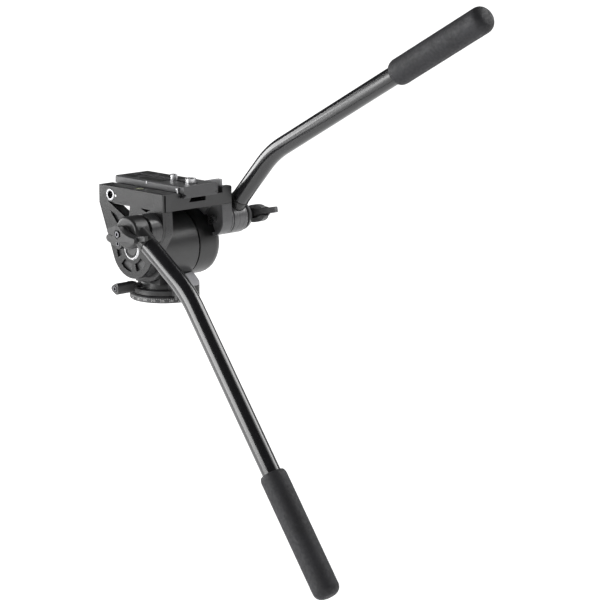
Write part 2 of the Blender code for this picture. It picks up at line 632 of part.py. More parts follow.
def build_pan_body(pan):
    floor = BASE_BODY_HEIGHT + GAP + WASHER_THICKNESS + GAP
    flange_bottom = RING_HEIGHT + GAP
    bore = SPINDLE_RADIUS + GAP
    pocket = WASHER_OUTER_RADIUS + GAP
    shelf = floor + HOUSING_FLOOR_THICKNESS
    outline = [(bore, floor), (pocket, floor), (pocket, flange_bottom), (FLANGE_RADIUS, flange_bottom),
               (FLANGE_RADIUS, FLANGE_TOP - FLANGE_CHAMFER), (FLANGE_RADIUS - FLANGE_CHAMFER, FLANGE_TOP)]
    outline += dome_outline() + [(0, DOME_TOP), (0, CAVITY_TOP), (CAVITY_RADIUS, CAVITY_TOP),
                                 (CAVITY_RADIUS, shelf), (bore, shelf)]
    housing = turned("pan_housing", outline, Vector(), Z_AXIS, LARGE_STEPS)
    saddle = box("saddle", (-SADDLE_LEFT, TILT_Y - SADDLE_HALF_DEPTH, CAVITY_TOP + GAP),
                 (SADDLE_RIGHT, TILT_Y + SADDLE_HALF_DEPTH, SADDLE_TOP))
    corner = (CHIN_HALF_WIDTH - CHIN_CORNER, CHIN_CORNER - CHIN_REAR)
    plan = arc_points((-corner[0], corner[1]), CHIN_CORNER, 180, 270, DOME_ARC_STEPS)
    plan += arc_points(corner, CHIN_CORNER, 270, 360, DOME_ARC_STEPS)
    chin = slab("chin", plan + [(CHIN_HALF_WIDTH, -CHIN_FRONT), (-CHIN_HALF_WIDTH, -CHIN_FRONT)], "Z",
                CHIN_BOTTOM, CHIN_TOP)
    fall = (CHIN_TOP - CHIN_SLOPE_FOOT) / (CHIN_REAR - CHIN_TOP_REAR)
    beyond = CHIN_REAR + OVERRUN
    wedge = [(-CHIN_TOP_REAR + OVERRUN, CHIN_TOP + fall * OVERRUN),
             (-beyond, CHIN_SLOPE_FOOT - fall * OVERRUN), (-beyond, CHIN_TOP + fall * OVERRUN)]
    cut(chin, slab("slope", wedge, "X", -CHIN_HALF_WIDTH - OVERRUN, CHIN_HALF_WIDTH + OVERRUN))
    cut(chin, cylinder("ring_clearance", RING_RADIUS + GAP, Vector(), Z_AXIS, 0, flange_bottom, LARGE_STEPS))
    cut(chin, cylinder("washer_clearance", pocket, Vector(), Z_AXIS, 0, floor, LARGE_STEPS))
    fuse(housing, saddle, chin)
    length = DRAG_RIGHT + OVERRUN
    cut(housing, cylinder("drum_clearance", DRUM_RADIUS + GAP, TILT_POINT, X_AXIS, -length, length,
                          LARGE_STEPS))
    along = Vector((0, -1, -fall)).normalized()
    across = along.cross(X_AXIS).normalized()
    middle = Vector((CHIN_SLOT_X, CHIN_SLOT_Y, CHIN_SLOPE_FOOT + fall * (CHIN_SLOT_Y + CHIN_REAR)))
    corners = []
    for u, v in ((-1, -1), (1, -1), (1, 1), (-1, 1)):
        point = middle + along * (u * CHIN_SLOT_LENGTH / 2) + across * (v * CHIN_SLOT_DEPTH)
        corners.append((point.y, point.z))
    half_width = CHIN_SLOT_WIDTH / 2
    cut(housing, slab("slot", corners, "X", CHIN_SLOT_X - half_width, CHIN_SLOT_X + half_width))
    stud_line = Vector((0, PAN_KNOB_Y, PAN_KNOB_Z))
    cut(housing, cylinder("stud_bore", PAN_STUD_RADIUS + GAP, stud_line, -X_AXIS, PAN_STUD_INNER - GAP,
                          FLANGE_RADIUS + OVERRUN, SCREW_STEPS))
    painted(housing)

    drum_left_wall = DRUM_LEFT - DRUM_WALL
    bearing_bore = BEARING_RADIUS + GAP
    drum_outline = [(bearing_bore, -DRUM_LEFT), (DRUM_RADIUS - DRUM_EDGE, -DRUM_LEFT),
                    (DRUM_RADIUS, -DRUM_LEFT + DRUM_EDGE), (DRUM_RADIUS, DRUM_RIGHT - DRUM_EDGE),
                    (DRUM_RADIUS - DRUM_EDGE, DRUM_RIGHT), (DRUM_RADIUS - DRUM_WALL, DRUM_RIGHT),
                    (DRUM_RADIUS - DRUM_WALL, -drum_left_wall), (bearing_bore, -drum_left_wall)]
    drum = turned("tilt_drum", drum_outline, TILT_POINT, X_AXIS, LARGE_STEPS)
    screws = []
    for end_name, side in (("rear", -1), ("front", 1)):
        spot = Vector((-DRUM_SCREW_X, TILT_Y + side * DRUM_SCREW_SPREAD, TILT_Z))
        inside = math.sqrt((DRUM_RADIUS - DRUM_WALL) ** 2 - (DRUM_SCREW_SPREAD - DRUM_SCREW_HEAD_RADIUS) ** 2)
        seat = -inside + GAP
        tip = seat - DRUM_SCREW_LENGTH
        for body in (drum, housing):
            cut(body, cylinder("screw_bore", DRUM_SCREW_RADIUS + GAP, spot, Z_AXIS, tip - GAP, seat + OVERRUN,
                               SCREW_STEPS))
        cut(drum, cylinder("spot_face", DRUM_SCREW_HEAD_RADIUS + GAP, spot, Z_AXIS, seat - GAP,
                           seat + DRUM_SCREW_HEAD_HEIGHT + OVERRUN, SCREW_STEPS))
        top = seat + DRUM_SCREW_HEAD_HEIGHT
        shape = [(0, tip), (DRUM_SCREW_RADIUS, tip), (DRUM_SCREW_RADIUS, seat), (DRUM_SCREW_HEAD_RADIUS, seat),
                 (DRUM_SCREW_HEAD_RADIUS, top), (0, top)]
        screws.append(smooth(turned(end_name + "_drum_screw", shape, spot, Z_AXIS, SCREW_STEPS)))
        steel(screws[-1])
    smooth(housing)
    painted(smooth(drum))

    bearings = []
    for name, start in (("left_tilt_bearing", -drum_left_wall - BEARING_WIDTH),
                        ("right_tilt_bearing", CARRIER_RIGHT - BEARING_WIDTH)):
        bearings.append(smooth(ring(name, SHAFT_RADIUS + GAP, BEARING_RADIUS, TILT_POINT, X_AXIS, start,
                                    start + BEARING_WIDTH, SMALL_STEPS)))
        finish_material(bearings[-1], BRASS, 0.35, 1.0)
    inner_radius = DRUM_RADIUS - DRUM_WALL - GAP
    bearing_carrier = smooth(ring("bearing_carrier", bearing_bore, inner_radius, TILT_POINT, X_AXIS,
                                  CARRIER_RIGHT - CARRIER_THICKNESS, CARRIER_RIGHT, LARGE_STEPS))
    painted(bearing_carrier)
    stator = smooth(comb("damping_stator", inner_radius, inner_radius - COMB_RIM, STATOR_INNER_RADIUS,
                         stator_starts()))
    steel(stator)
    spring_start = Vector((-drum_left_wall + GAP + SPRING_WIRE_RADIUS, TILT_Y, TILT_Z))
    spring = coil("counterbalance_spring", spring_start, X_AXIS, SPRING_RADIUS, SPRING_WIRE_RADIUS,
                  SPRING_PITCH, SPRING_TURNS)
    steel(spring)
    stud = smooth(cylinder("pan_lock_stud", PAN_STUD_RADIUS, stud_line, -X_AXIS, PAN_STUD_INNER,
                           PAN_KNOB_NEAR + PAN_STUD_EMBED, SCREW_STEPS))
    steel(stud)
    carry(pan, housing, drum, bearing_carrier, stator, spring, stud, *screws, *bearings)


def comb(name, back, rim, tip, starts):
    """Turned stack of thin discs on one common rim, for the damping plates."""
    teeth = []
    for start in starts:
        teeth += [(rim, start + PLATE_THICKNESS), (tip, start + PLATE_THICKNESS), (tip, start), (rim, start)]
    outline = [(back, starts[-1]), (back, starts[0] + PLATE_THICKNESS)] + teeth[1:-1]
    return turned(name, outline, TILT_POINT, X_AXIS, MEDIUM_STEPS)


def stator_starts():
    """Left faces of the fixed damping plates, stacked leftwards from the bearing carrier."""
    first = CARRIER_RIGHT - CARRIER_THICKNESS - PLATE_PITCH
    return [first - PLATE_PITCH * k for k in range(PLATE_COUNT)]


def lobed_outline(centre, radius, lobe, lobes, steps):
    points = []
    for k in range(steps):
        angle = math.tau * k / steps
        reach = radius + lobe * math.cos(lobes * angle)
        points.append((centre[0] + reach * math.cos(angle), centre[1] + reach * math.sin(angle)))
    return points


def build_pan_knob(knob):
    line = Vector((0, PAN_KNOB_Y, PAN_KNOB_Z))
    outline = lobed_outline((PAN_KNOB_Y, PAN_KNOB_Z), PAN_KNOB_RADIUS, PAN_KNOB_LOBE, PAN_KNOB_LOBES,
                            MEDIUM_STEPS)
    body = slab("pan_lock_knob", outline, "X", -PAN_KNOB_FAR, -PAN_KNOB_NEAR)
    cut(body, cylinder("bore", PAN_STUD_RADIUS + GAP, line, -X_AXIS, PAN_KNOB_NEAR - OVERRUN,
                       PAN_KNOB_NEAR + PAN_STUD_EMBED + GAP, SCREW_STEPS))
    cut(body, cylinder("bore", TILT_LOCK_SCREW_RADIUS + GAP, line, -X_AXIS,
                       PAN_KNOB_FAR - TILT_LOCK_SCREW_DEPTH - GAP, PAN_KNOB_FAR + OVERRUN, SCREW_STEPS))
    painted(smooth(body))
    screw = hex_screw("pan_lock_screw", TILT_LOCK_SCREW_RADIUS, line, -X_AXIS,
                      PAN_KNOB_FAR - TILT_LOCK_SCREW_DEPTH, PAN_KNOB_FAR + LEVER_SCREW_PROUD)
    carry(knob, body, screw)


def hex_screw(name, radius, line, direction, start, end):
    """A round screw head with a hexagonal key socket in its outer end."""
    outline = [(0, start), (radius, start), (radius, end), (HEX_RADIUS, end), (HEX_RADIUS, end - HEX_DEPTH),
               (0, end - HEX_DEPTH)]
    head = turned(name, outline, line, direction, HEX_SOCKET_STEPS)
    steel(smooth(head))
    return head


def rotor_starts():
    return [start + PLATE_THICKNESS + (PLATE_PITCH - 2 * PLATE_THICKNESS) / 2 for start in stator_starts()]


def build_tilt_drag(tilt):
    left = DRUM_RIGHT + GAP
    shoulder = DRAG_RIGHT - DRAG_SHOULDER
    rounding = []
    for k in range(DOME_ARC_STEPS + 1):
        turn = math.radians(90) * k / DOME_ARC_STEPS
        rounding.append((DRAG_FACE_RADIUS + (DRAG_RADIUS - DRAG_FACE_RADIUS) * math.cos(turn),
                         shoulder + DRAG_SHOULDER * math.sin(turn)))
    cavity = left + DRAG_CAVITY_DEPTH
    socket = DRAG_RIGHT - DRAG_FACE_THICKNESS
    bore = SHAFT_RADIUS + GAP
    wall = DRAG_RADIUS - DRAG_WALL
    outline = [(bore, cavity), (wall, cavity), (wall, left), (DRAG_RADIUS, left)] + rounding
    outline += [(0, DRAG_RIGHT), (0, socket), (bore, socket)]
    housing = smooth(turned("tilt_drag_housing", outline, TILT_POINT, X_AXIS, LARGE_STEPS))
    painted(housing)
    shaft = smooth(cylinder("tilt_shaft", SHAFT_RADIUS, TILT_POINT, X_AXIS, -LEFT_PANEL, socket - GAP,
                            SMALL_STEPS))
    steel(shaft)
    rotor = smooth(comb("damping_rotor", bore, bore + COMB_RIM, ROTOR_OUTER_RADIUS, rotor_starts()))
    steel(rotor)
    carry(tilt, housing, shaft, rotor)


def lobe_outline(platform_corners):
    """Platform corners and rosette lobe, wrapped by one tight outline."""
    return hull(platform_corners + arc_points((ROSETTE_Y, ROSETTE_Z), LOBE_RADIUS, 0, 360, ARC_STEPS))


def cheek_outline(platform_corners):
    """The outline with the rosette lobe, and with the disc about the tilt axis as well."""
    disc = arc_points((TILT_Y, TILT_Z), CHEEK_DISC_RADIUS, 0, 360, ARC_STEPS)
    return hull(lobe_outline(platform_corners) + disc)


def share_point(share, bottom=None):
    """A place on the cheek: shares of its length from the rear and of its height from the disc foot."""
    length = PLATFORM_FRONT + PLATFORM_REAR
    foot = TILT_Z - CHEEK_DISC_RADIUS
    return (-PLATFORM_REAR + share[0] * length, foot + share[1] * (PANEL_BOTTOM - foot))


def window_tools(start, end):
    tools = []
    for shares in (FRONT_WINDOW_SHARES, REAR_WINDOW_SHARES):
        tools.append(slab("window", [share_point(s) for s in shares], "X", start, end))
    return tools


def arc_pocket(span, start, end):
    outer = arc_points((TILT_Y, TILT_Z), POCKET_OUTER_RADIUS, span[0], span[1], DOME_ARC_STEPS)
    inner = arc_points((TILT_Y, TILT_Z), POCKET_INNER_RADIUS, span[1], span[0], DOME_ARC_STEPS)
    return slab("pocket", outer + inner, "X", start, end)


def side_screw_spots():
    """One screw near the front of the cheek and one on the lobe's upper edge."""
    return [("front", share_point(FRONT_SCREW_SHARES)), ("rear", share_point(REAR_SCREW_SHARES))]


def build_cheeks(tilt):
    bottom = PLATFORM_BOTTOM - GAP
    corners = [(PLATFORM_FRONT, bottom), (-PLATFORM_REAR, bottom)]
    left = slab("left_cheek", cheek_outline(corners), "X", -CHEEK_OUTER, -CHEEK_INNER)
    cut(left, *window_tools(-CHEEK_OUTER - OVERRUN, -CHEEK_INNER + OVERRUN))
    cut(left, cylinder("bore", SHAFT_RADIUS + GAP, TILT_POINT, X_AXIS, -CHEEK_OUTER - OVERRUN,
                       -CHEEK_INNER + OVERRUN, SMALL_STEPS))
    fuse(left, ring("axis_ring", AXIS_RING_INNER, AXIS_RING_OUTER, TILT_POINT, -X_AXIS, CHEEK_INNER + GAP,
                    LEFT_PANEL, SMALL_STEPS))

    top = PLATFORM_TOP
    side_corners = corners + [(PLATFORM_FRONT, top), (-PLATFORM_REAR, top)]
    side = slab("left_side_plate", cheek_outline(side_corners), "X", -LEFT_PANEL, -SIDE_PLATE_INNER)
    low, high = -LEFT_PANEL - OVERRUN, -SIDE_PLATE_INNER + OVERRUN
    cut(side, *window_tools(low, high))
    cut(side, slab("pocket", [share_point(s) for s in FRONT_POCKET_SHARES], "X", low, high))
    for span in POCKET_SPANS:
        cut(side, arc_pocket(span, low, high))
    cut(side, cylinder("axis_hole", AXIS_HOLE_RADIUS, TILT_POINT, X_AXIS, low, high, SMALL_STEPS))

    right = slab("right_cheek", lobe_outline(corners), "X", CHEEK_INNER, PLATFORM_HALF_WIDTH)
    cut(right, cylinder("head_recess", RIGHT_RECESS_RADIUS, ROSETTE_POINT, X_AXIS, CHEEK_INNER - OVERRUN,
                        CHEEK_INNER + RIGHT_RECESS_DEPTH))
    cut(right, cylinder("saddle", DRAG_RADIUS + GAP, TILT_POINT, X_AXIS, CHEEK_INNER - OVERRUN,
                        PLATFORM_HALF_WIDTH + OVERRUN, LARGE_STEPS))
    bolt_bore = ROSETTE_BOLT_RADIUS + GAP
    for body in (left, side, right):
        cut(body, cylinder("bolt_bore", bolt_bore, ROSETTE_POINT, X_AXIS, -LEFT_PANEL - OVERRUN,
                           PLATFORM_HALF_WIDTH + OVERRUN, SCREW_STEPS))
    stud_line = Vector((0, TILT_LOCK_Y, TILT_LOCK_Z))
    for body in (left, side):
        cut(body, cylinder("stud_bore", TILT_LOCK_STUD_RADIUS + GAP, stud_line, -X_AXIS,
                           LEFT_PANEL - TILT_LOCK_STUD_DEPTH - GAP, LEFT_PANEL + OVERRUN, SCREW_STEPS))
    return left, side, right


def build_side_screws(left, side):
    """Screws from inside the left cheek, out into the blind side of the thin side plate."""
    screws = []
    for end_name, spot in side_screw_spots():
        line = Vector((0, spot[0], spot[1]))
        tip = LEFT_PANEL - SIDE_SCREW_COVER
        seat = CHEEK_INNER + SIDE_SCREW_HEAD
        outline = [(0, CHEEK_INNER), (SIDE_SCREW_HEAD_RADIUS, CHEEK_INNER), (SIDE_SCREW_HEAD_RADIUS, seat),
                   (SIDE_SCREW_RADIUS, seat), (SIDE_SCREW_RADIUS, tip), (0, tip)]
        screws.append(smooth(turned(end_name + "_side_screw", outline, line, -X_AXIS, SCREW_STEPS)))
        steel(screws[-1])
        inside = CHEEK_INNER - OVERRUN
        for body in (left, side):
            cut(body, cylinder("bore", SIDE_SCREW_RADIUS + GAP, line, -X_AXIS, inside, tip + GAP, SCREW_STEPS))
        cut(left, cylinder("sink", SIDE_SCREW_HEAD_RADIUS + GAP, line, -X_AXIS, inside, seat + GAP, SCREW_STEPS))
    return screws


def groove_outline(side, clearance):
    """Half of the dovetail section, from the plate's top edge down to its foot."""
    edge = PLATE_HALF_WIDTH + clearance
    root = edge - GROOVE_DEPTH
    foot = GROOVE_TOP - GROOVE_HEIGHT
    middle = (GROOVE_TOP + foot) / 2
    flat = GROOVE_FLAT / 2
    return [(side * edge, GROOVE_TOP), (side * root, middle + flat), (side * root, middle - flat),
            (side * edge, foot)]


def build_platform():
    """The channel section runs along Y; the plate's left rail is part of it."""
    floor = CHANNEL_FLOOR
    outer = PLATFORM_HALF_WIDTH
    inner_left = -(SIDE_PLATE_INNER - GAP)
    rail = [(x, z - clearance_drop(z)) for x, z in groove_outline(-1, GAP)]
    section = [(inner_left, PLATFORM_BOTTOM), (outer, PLATFORM_BOTTOM), (outer, PLATFORM_TOP - PLATFORM_EDGE),
               (outer - PLATFORM_EDGE, PLATFORM_TOP), (NOTCH_OUTER, PLATFORM_TOP), (NOTCH_OUTER, floor),
               (WINDOW_HALF_WIDTH, floor), (WINDOW_HALF_WIDTH, WINDOW_FLOOR),
               (-WINDOW_HALF_WIDTH, WINDOW_FLOOR), (-WINDOW_HALF_WIDTH + WINDOW_SLOPE, floor),
               (-PLATE_HALF_WIDTH - GAP, floor)]
    section += list(reversed(rail))
    section += [(-JAW_OUTER, rail[0][1]), (-JAW_OUTER, PLATFORM_TOP), (inner_left, PLATFORM_TOP)]
    platform = slab("tilt_platform", section, "Y", -PLATFORM_REAR, PLATFORM_FRONT)
    return platform


def clearance_drop(height):
    """The rail's nose sits a gap inside the groove: its upper flank lower, its lower flank higher."""
    middle = GROOVE_TOP - GROOVE_HEIGHT / 2
    return GAP if height > middle else -GAP


def build_platform_fittings(tilt, platform):
    well = Vector((-PIN_X, PIN_Y, 0))
    well_floor = PIN_TOP - PIN_LENGTH - PIN_WELL_DEPTH / 2
    cut(platform, cylinder("pin_well", PIN_RADIUS + GAP, well, Z_AXIS, well_floor, PLATFORM_TOP + OVERRUN,
                           SCREW_STEPS))
    level_line = Vector((-LEVEL_X, LEVEL_Y, PLATFORM_TOP))
    cut(platform, cylinder("level_pocket", LEVEL_RADIUS + GAP, level_line, Z_AXIS, -LEVEL_DEPTH - GAP,
                           OVERRUN, SMALL_STEPS))
    rim = LEVEL_RADIUS - LEVEL_RIM
    cup_floor = -LEVEL_DEPTH + LEVEL_RIM
    cup_outline = [(0, -LEVEL_DEPTH), (LEVEL_RADIUS, -LEVEL_DEPTH), (LEVEL_RADIUS, LEVEL_PROUD),
                   (rim, LEVEL_PROUD), (rim, cup_floor), (0, cup_floor)]
    cup = smooth(turned("level_cup", cup_outline, level_line, Z_AXIS, SMALL_STEPS))
    painted(cup)
    vial = smooth(cylinder("level_vial", rim - GAP, level_line, Z_AXIS, cup_floor + GAP, 0, SMALL_STEPS))
    finish_material(vial, LEVEL_GREEN, 0.08, 0.0)
    recess_front = LOCK_HUB_Y + LOCK_HUB_RADIUS + LOCK_RECESS_MARGIN
    recess_rear = LOCK_HUB_Y - LOCK_ARM_LENGTH - LOCK_TIP_HALF_WIDTH - LOCK_RECESS_MARGIN
    cut(platform, box("lever_recess", (NOTCH_OUTER - OVERRUN, recess_rear, LOCK_SEAT),
                      (PLATFORM_HALF_WIDTH + OVERRUN, recess_front, PLATFORM_TOP + OVERRUN)))
    bolt_line = Vector((LOCK_HUB_X, LOCK_HUB_Y, LOCK_SEAT))
    cut(platform, cylinder("bolt_bore", LOCK_BOLT_RADIUS + GAP, bolt_line, Z_AXIS, -LOCK_BOLT_DEPTH - GAP,
                           OVERRUN, SCREW_STEPS))
    spring_foot = well + Z_AXIS * (well_floor + GAP + PIN_SPRING_WIRE)
    spring_room = PIN_WELL_DEPTH / 2 - 2 * GAP - 2 * PIN_SPRING_WIRE
    spring = coil("safety_pin_spring", spring_foot, Z_AXIS, PIN_RADIUS - PIN_SPRING_WIRE, PIN_SPRING_WIRE,
                  spring_room / PIN_SPRING_TURNS, PIN_SPRING_TURNS)
    steel(spring)
    return cup, vial, spring


def build_socket(platform, side):
    """Threaded accessory socket with its anti-twist pin, high at the front of the left panel."""
    line = Vector((0, SOCKET_Y, SOCKET_Z))
    pin_line = Vector((0, SOCKET_Y - TWIST_PIN_OFFSET, SOCKET_Z))
    tip = LEFT_PANEL - SOCKET_DEPTH
    outer = LEFT_PANEL + SOCKET_PROUD
    for body in (platform, side):
        cut(body, cylinder("socket_bore", SOCKET_RADIUS + GAP, line, -X_AXIS, tip - GAP, outer + OVERRUN,
                           SMALL_STEPS))
        cut(body, cylinder("pin_bore", TWIST_PIN_RADIUS + GAP, pin_line, -X_AXIS, tip - GAP, outer + OVERRUN,
                           SCREW_STEPS))
    socket = smooth(ring("accessory_socket", SOCKET_BORE, SOCKET_RADIUS, line, -X_AXIS, tip, outer,
                         SMALL_STEPS))
    twist_pin = smooth(cylinder("anti_twist_pin", TWIST_PIN_RADIUS, pin_line, -X_AXIS, tip, LEFT_PANEL,
                                SCREW_STEPS))
    steel(socket)
    steel(twist_pin)
    return socket, twist_pin


def rosette_teeth(name, near, direction, boss_length):
    """A boss whose outer face carries a ring of radial teeth."""
    line = Vector((0, ROSETTE_Y, ROSETTE_Z))
    inner = ROSETTE_BOLT_RADIUS + GAP
    flat_end = near + boss_length - TOOTH_HEIGHT
    boss = ring(name, inner, LOBE_RADIUS, line, direction, near, flat_end, LARGE_STEPS)
    mesh_data = bmesh.new()
    step = math.tau / ROSETTE_TEETH
    frame = Matrix.Translation(line) @ direction.to_track_quat("Z", "Y").to_matrix().to_4x4()
    tooth_inner = LOBE_RADIUS * TOOTH_INNER_SHARE
    low = flat_end - TOOTH_HEIGHT
    high = flat_end + TOOTH_HEIGHT
    for k in range(0, ROSETTE_TEETH, 2):
        rows = []
        for radius in (tooth_inner, LOBE_RADIUS - GAP):
            angles = (k * step, (k + 1) * step)
            corners = ((angles[0], low), (angles[0], high), (angles[1], high), (angles[1], low))
            rows.append([mesh_data.verts.new(frame @ Vector((radius * math.cos(a), radius * math.sin(a), level)))
                         for a, level in corners])
        loft(mesh_data, rows, closed=False)
        mesh_data.faces.new(rows[0])
        mesh_data.faces.new(rows[1])
    teeth = object_from("teeth", mesh_data)
    return fuse(boss, teeth)


def build_rosettes():
    left = rosette_teeth("left_rosette", LEFT_PANEL + GAP, -X_AXIS, LEFT_BOSS_LENGTH)
    right = rosette_teeth("right_rosette", PLATFORM_HALF_WIDTH + GAP, X_AXIS, RIGHT_BOSS_LENGTH)
    painted(smooth(left))
    painted(smooth(right))
    return left, right


def build_rosette_bolt(name, direction, clamp_near):
    """Through bolt from inside the cheek, out through the rosette and the handle clamp."""
    inside = CHEEK_INNER - GAP
    tip = clamp_near + CLAMP_THICKNESS - GAP
    top = inside - ROSETTE_HEAD_HEIGHT
    outline = [(0, top), (ROSETTE_HEAD_RADIUS, top), (ROSETTE_HEAD_RADIUS, inside),
               (ROSETTE_BOLT_RADIUS, inside), (ROSETTE_BOLT_RADIUS, tip), (0, tip)]
    bolt = smooth(turned(name, outline, ROSETTE_POINT, direction, SCREW_STEPS))
    steel(bolt)
    return bolt


def rounded_slot(name, half_width, rear, front, low, high):
    outline = capsule((0, rear + half_width), (0, front - half_width), half_width, half_width)
    return slab(name, outline, "Z", low, high)


def build_plate(plate):
    left_side = groove_outline(-1, 0)
    right_side = groove_outline(1, 0)
    bottom = CHANNEL_FLOOR + GAP
    section = [(-PLATE_HALF_WIDTH, bottom)] + list(reversed(left_side))
    section += [(-PLATE_HALF_WIDTH, PLATE_TOP - PLATE_EDGE), (-PLATE_HALF_WIDTH + PLATE_EDGE, PLATE_TOP),
                (PLATE_HALF_WIDTH - PLATE_EDGE, PLATE_TOP), (PLATE_HALF_WIDTH, PLATE_TOP - PLATE_EDGE)]
    section += right_side + [(PLATE_HALF_WIDTH, bottom)]
    body = slab("quick_release_plate", section, "Y", -PLATE_REAR, PLATE_FRONT)
    low, high = bottom - OVERRUN, PLATE_TOP + OVERRUN
    cut(body, rounded_slot("slot", QUARTER_RADIUS + GAP, -SLOT_REAR, SLOT_FRONT, low, high))
    cut(body, rounded_slot("slot", THREE_EIGHTHS_RADIUS + GAP, -REAR_SLOT_REAR, -REAR_SLOT_FRONT, low, high))
    cut(body, rounded_slot("counterbore", COUNTERBORE_HALF_WIDTH, -REAR_SLOT_REAR - COUNTERBORE_END,
                           SLOT_FRONT + COUNTERBORE_END, low, bottom + COUNTERBORE_DEPTH))
    pads = []
    rows = (("front", FRONT_PAD_Y, FRONT_PAD_HALF_LENGTH), ("rear", REAR_PAD_Y, REAR_PAD_HALF_LENGTH))
    for side_name, x in (("left", -PAD_CENTRE_X), ("right", PAD_CENTRE_X)):
        for row_name, centre, half_length in rows:
            offset = half_length - PAD_HALF_WIDTH
            ends = ((x, centre - offset), (x, centre + offset))
            recess = capsule(*ends, PAD_HALF_WIDTH + GAP, PAD_HALF_WIDTH + GAP)
            cut(body, slab("recess", recess, "Z", PLATE_TOP - PAD_THICKNESS, high))
            outline = capsule(*ends, PAD_HALF_WIDTH, PAD_HALF_WIDTH)
            pads.append(slab("%s_%s_plate_pad" % (side_name, row_name), outline, "Z",
                             PLATE_TOP - PAD_THICKNESS + GAP, PLATE_TOP + GAP))
            rubber(pads[-1])
    painted(body)
    carry(plate, body, *pads)


def build_camera_stud(name, turn, radius, y, rise):
    line = Vector((0, y, 0))
    bottom = CHANNEL_FLOOR + GAP + COUNTERBORE_DEPTH - STUD_HEAD_HEIGHT - GAP
    shoulder = bottom + STUD_HEAD_HEIGHT
    top = PLATE_TOP + rise
    outline = [(0, bottom), (STUD_HEAD_RADIUS, bottom), (STUD_HEAD_RADIUS, shoulder), (radius, shoulder),
               (radius, top - GAP), (radius - GAP, top), (0, top)]
    stud = turned(name, outline, line, Z_AXIS, SMALL_STEPS)
    half = STUD_SLOT_WIDTH / 2
    cut(stud, box("driver_slot", (-radius - OVERRUN, y - half, top - STUD_SLOT_DEPTH),
                  (radius + OVERRUN, y + half, top + OVERRUN)))
    steel(smooth(stud))
    carry(turn, stud)


def build_jaw(jaw):
    """Sliding jaw that mirrors the fixed rail and presses the plate against it."""
    rail = [(x, z - clearance_drop(z)) for x, z in groove_outline(1, GAP)]
    floor = CHANNEL_FLOOR + GAP
    section = [(PLATE_HALF_WIDTH + GAP, floor)] + list(reversed(rail))
    section += [(JAW_OUTER, rail[0][1]), (JAW_OUTER, floor)]
    body = slab("clamp_jaw", section, "Y", -PLATFORM_REAR, PLATFORM_FRONT)
    painted(body)
    carry(jaw, body)


def build_lock_lever(lock):
    """Thumb lever in a recess of the right wall; its arm rises towards the rear."""
    bottom = LOCK_SEAT + GAP
    root = (LOCK_HUB_X, LOCK_HUB_Y)
    tip = (LOCK_HUB_X, LOCK_HUB_Y - LOCK_ARM_LENGTH)
    shoulder = LOCK_HUB_Y - LOCK_HUB_RADIUS
    outline = hull(arc_points(root, LOCK_HUB_RADIUS, 0, 360, SMALL_STEPS)
                   + arc_points((LOCK_HUB_X, shoulder), LOCK_ROOT_HALF_WIDTH, 0, 360, SCREW_STEPS)
                   + arc_points(tip, LOCK_TIP_HALF_WIDTH, 0, 360, SCREW_STEPS))
    body = slab("plate_lock_lever", outline, "Z", bottom, LOCK_ARM_TOP)
    line = Vector((LOCK_HUB_X, LOCK_HUB_Y, 0))
    crest = tip[1] + LOCK_ARM_CREST
    above = LOCK_ARM_TOP + OVERRUN
    front = LOCK_HUB_Y + LOCK_HUB_RADIUS + OVERRUN
    relief = [(front, LOCK_HUB_TOP), (shoulder, LOCK_HUB_TOP), (crest, LOCK_ARM_TOP), (crest, above),
              (front, above)]
    reach = LOCK_HUB_RADIUS + OVERRUN
    cut(body, slab("relief", relief, "X", LOCK_HUB_X - reach, LOCK_HUB_X + reach))
    seat = LOCK_HUB_TOP - LOCK_BOLT_HEAD_HEIGHT + LOCK_BOLT_PROUD
    cut(body, cylinder("bore", LOCK_BOLT_RADIUS + GAP, line, Z_AXIS, bottom - OVERRUN, above, SCREW_STEPS))
    cut(body, cylinder("sink", LOCK_BOLT_HEAD_RADIUS + GAP, line, Z_AXIS, seat - GAP, above, SCREW_STEPS))
    painted(smooth(body))
    carry(lock, body)
    foot = LOCK_SEAT - LOCK_BOLT_DEPTH
    head = seat + LOCK_BOLT_HEAD_HEIGHT
    outline = [(0, foot), (LOCK_BOLT_RADIUS, foot), (LOCK_BOLT_RADIUS, seat), (LOCK_BOLT_HEAD_RADIUS, seat),
               (LOCK_BOLT_HEAD_RADIUS, head), (0, head)]
    bolt = smooth(turned("lock_lever_bolt", outline, line, Z_AXIS, SCREW_STEPS))
    steel(bolt)
    return bolt


def build_safety_pin(button):
    line = Vector((-PIN_X, PIN_Y, 0))
    outline = [(0, PIN_TOP - PIN_LENGTH), (PIN_RADIUS, PIN_TOP - PIN_LENGTH), (PIN_RADIUS, PIN_TOP - GAP),
               (PIN_RADIUS - GAP, PIN_TOP), (0, PIN_TOP)]
    pin = smooth(turned("safety_pin", outline, line, Z_AXIS, SCREW_STEPS))
    steel(pin)
    carry(button, pin)


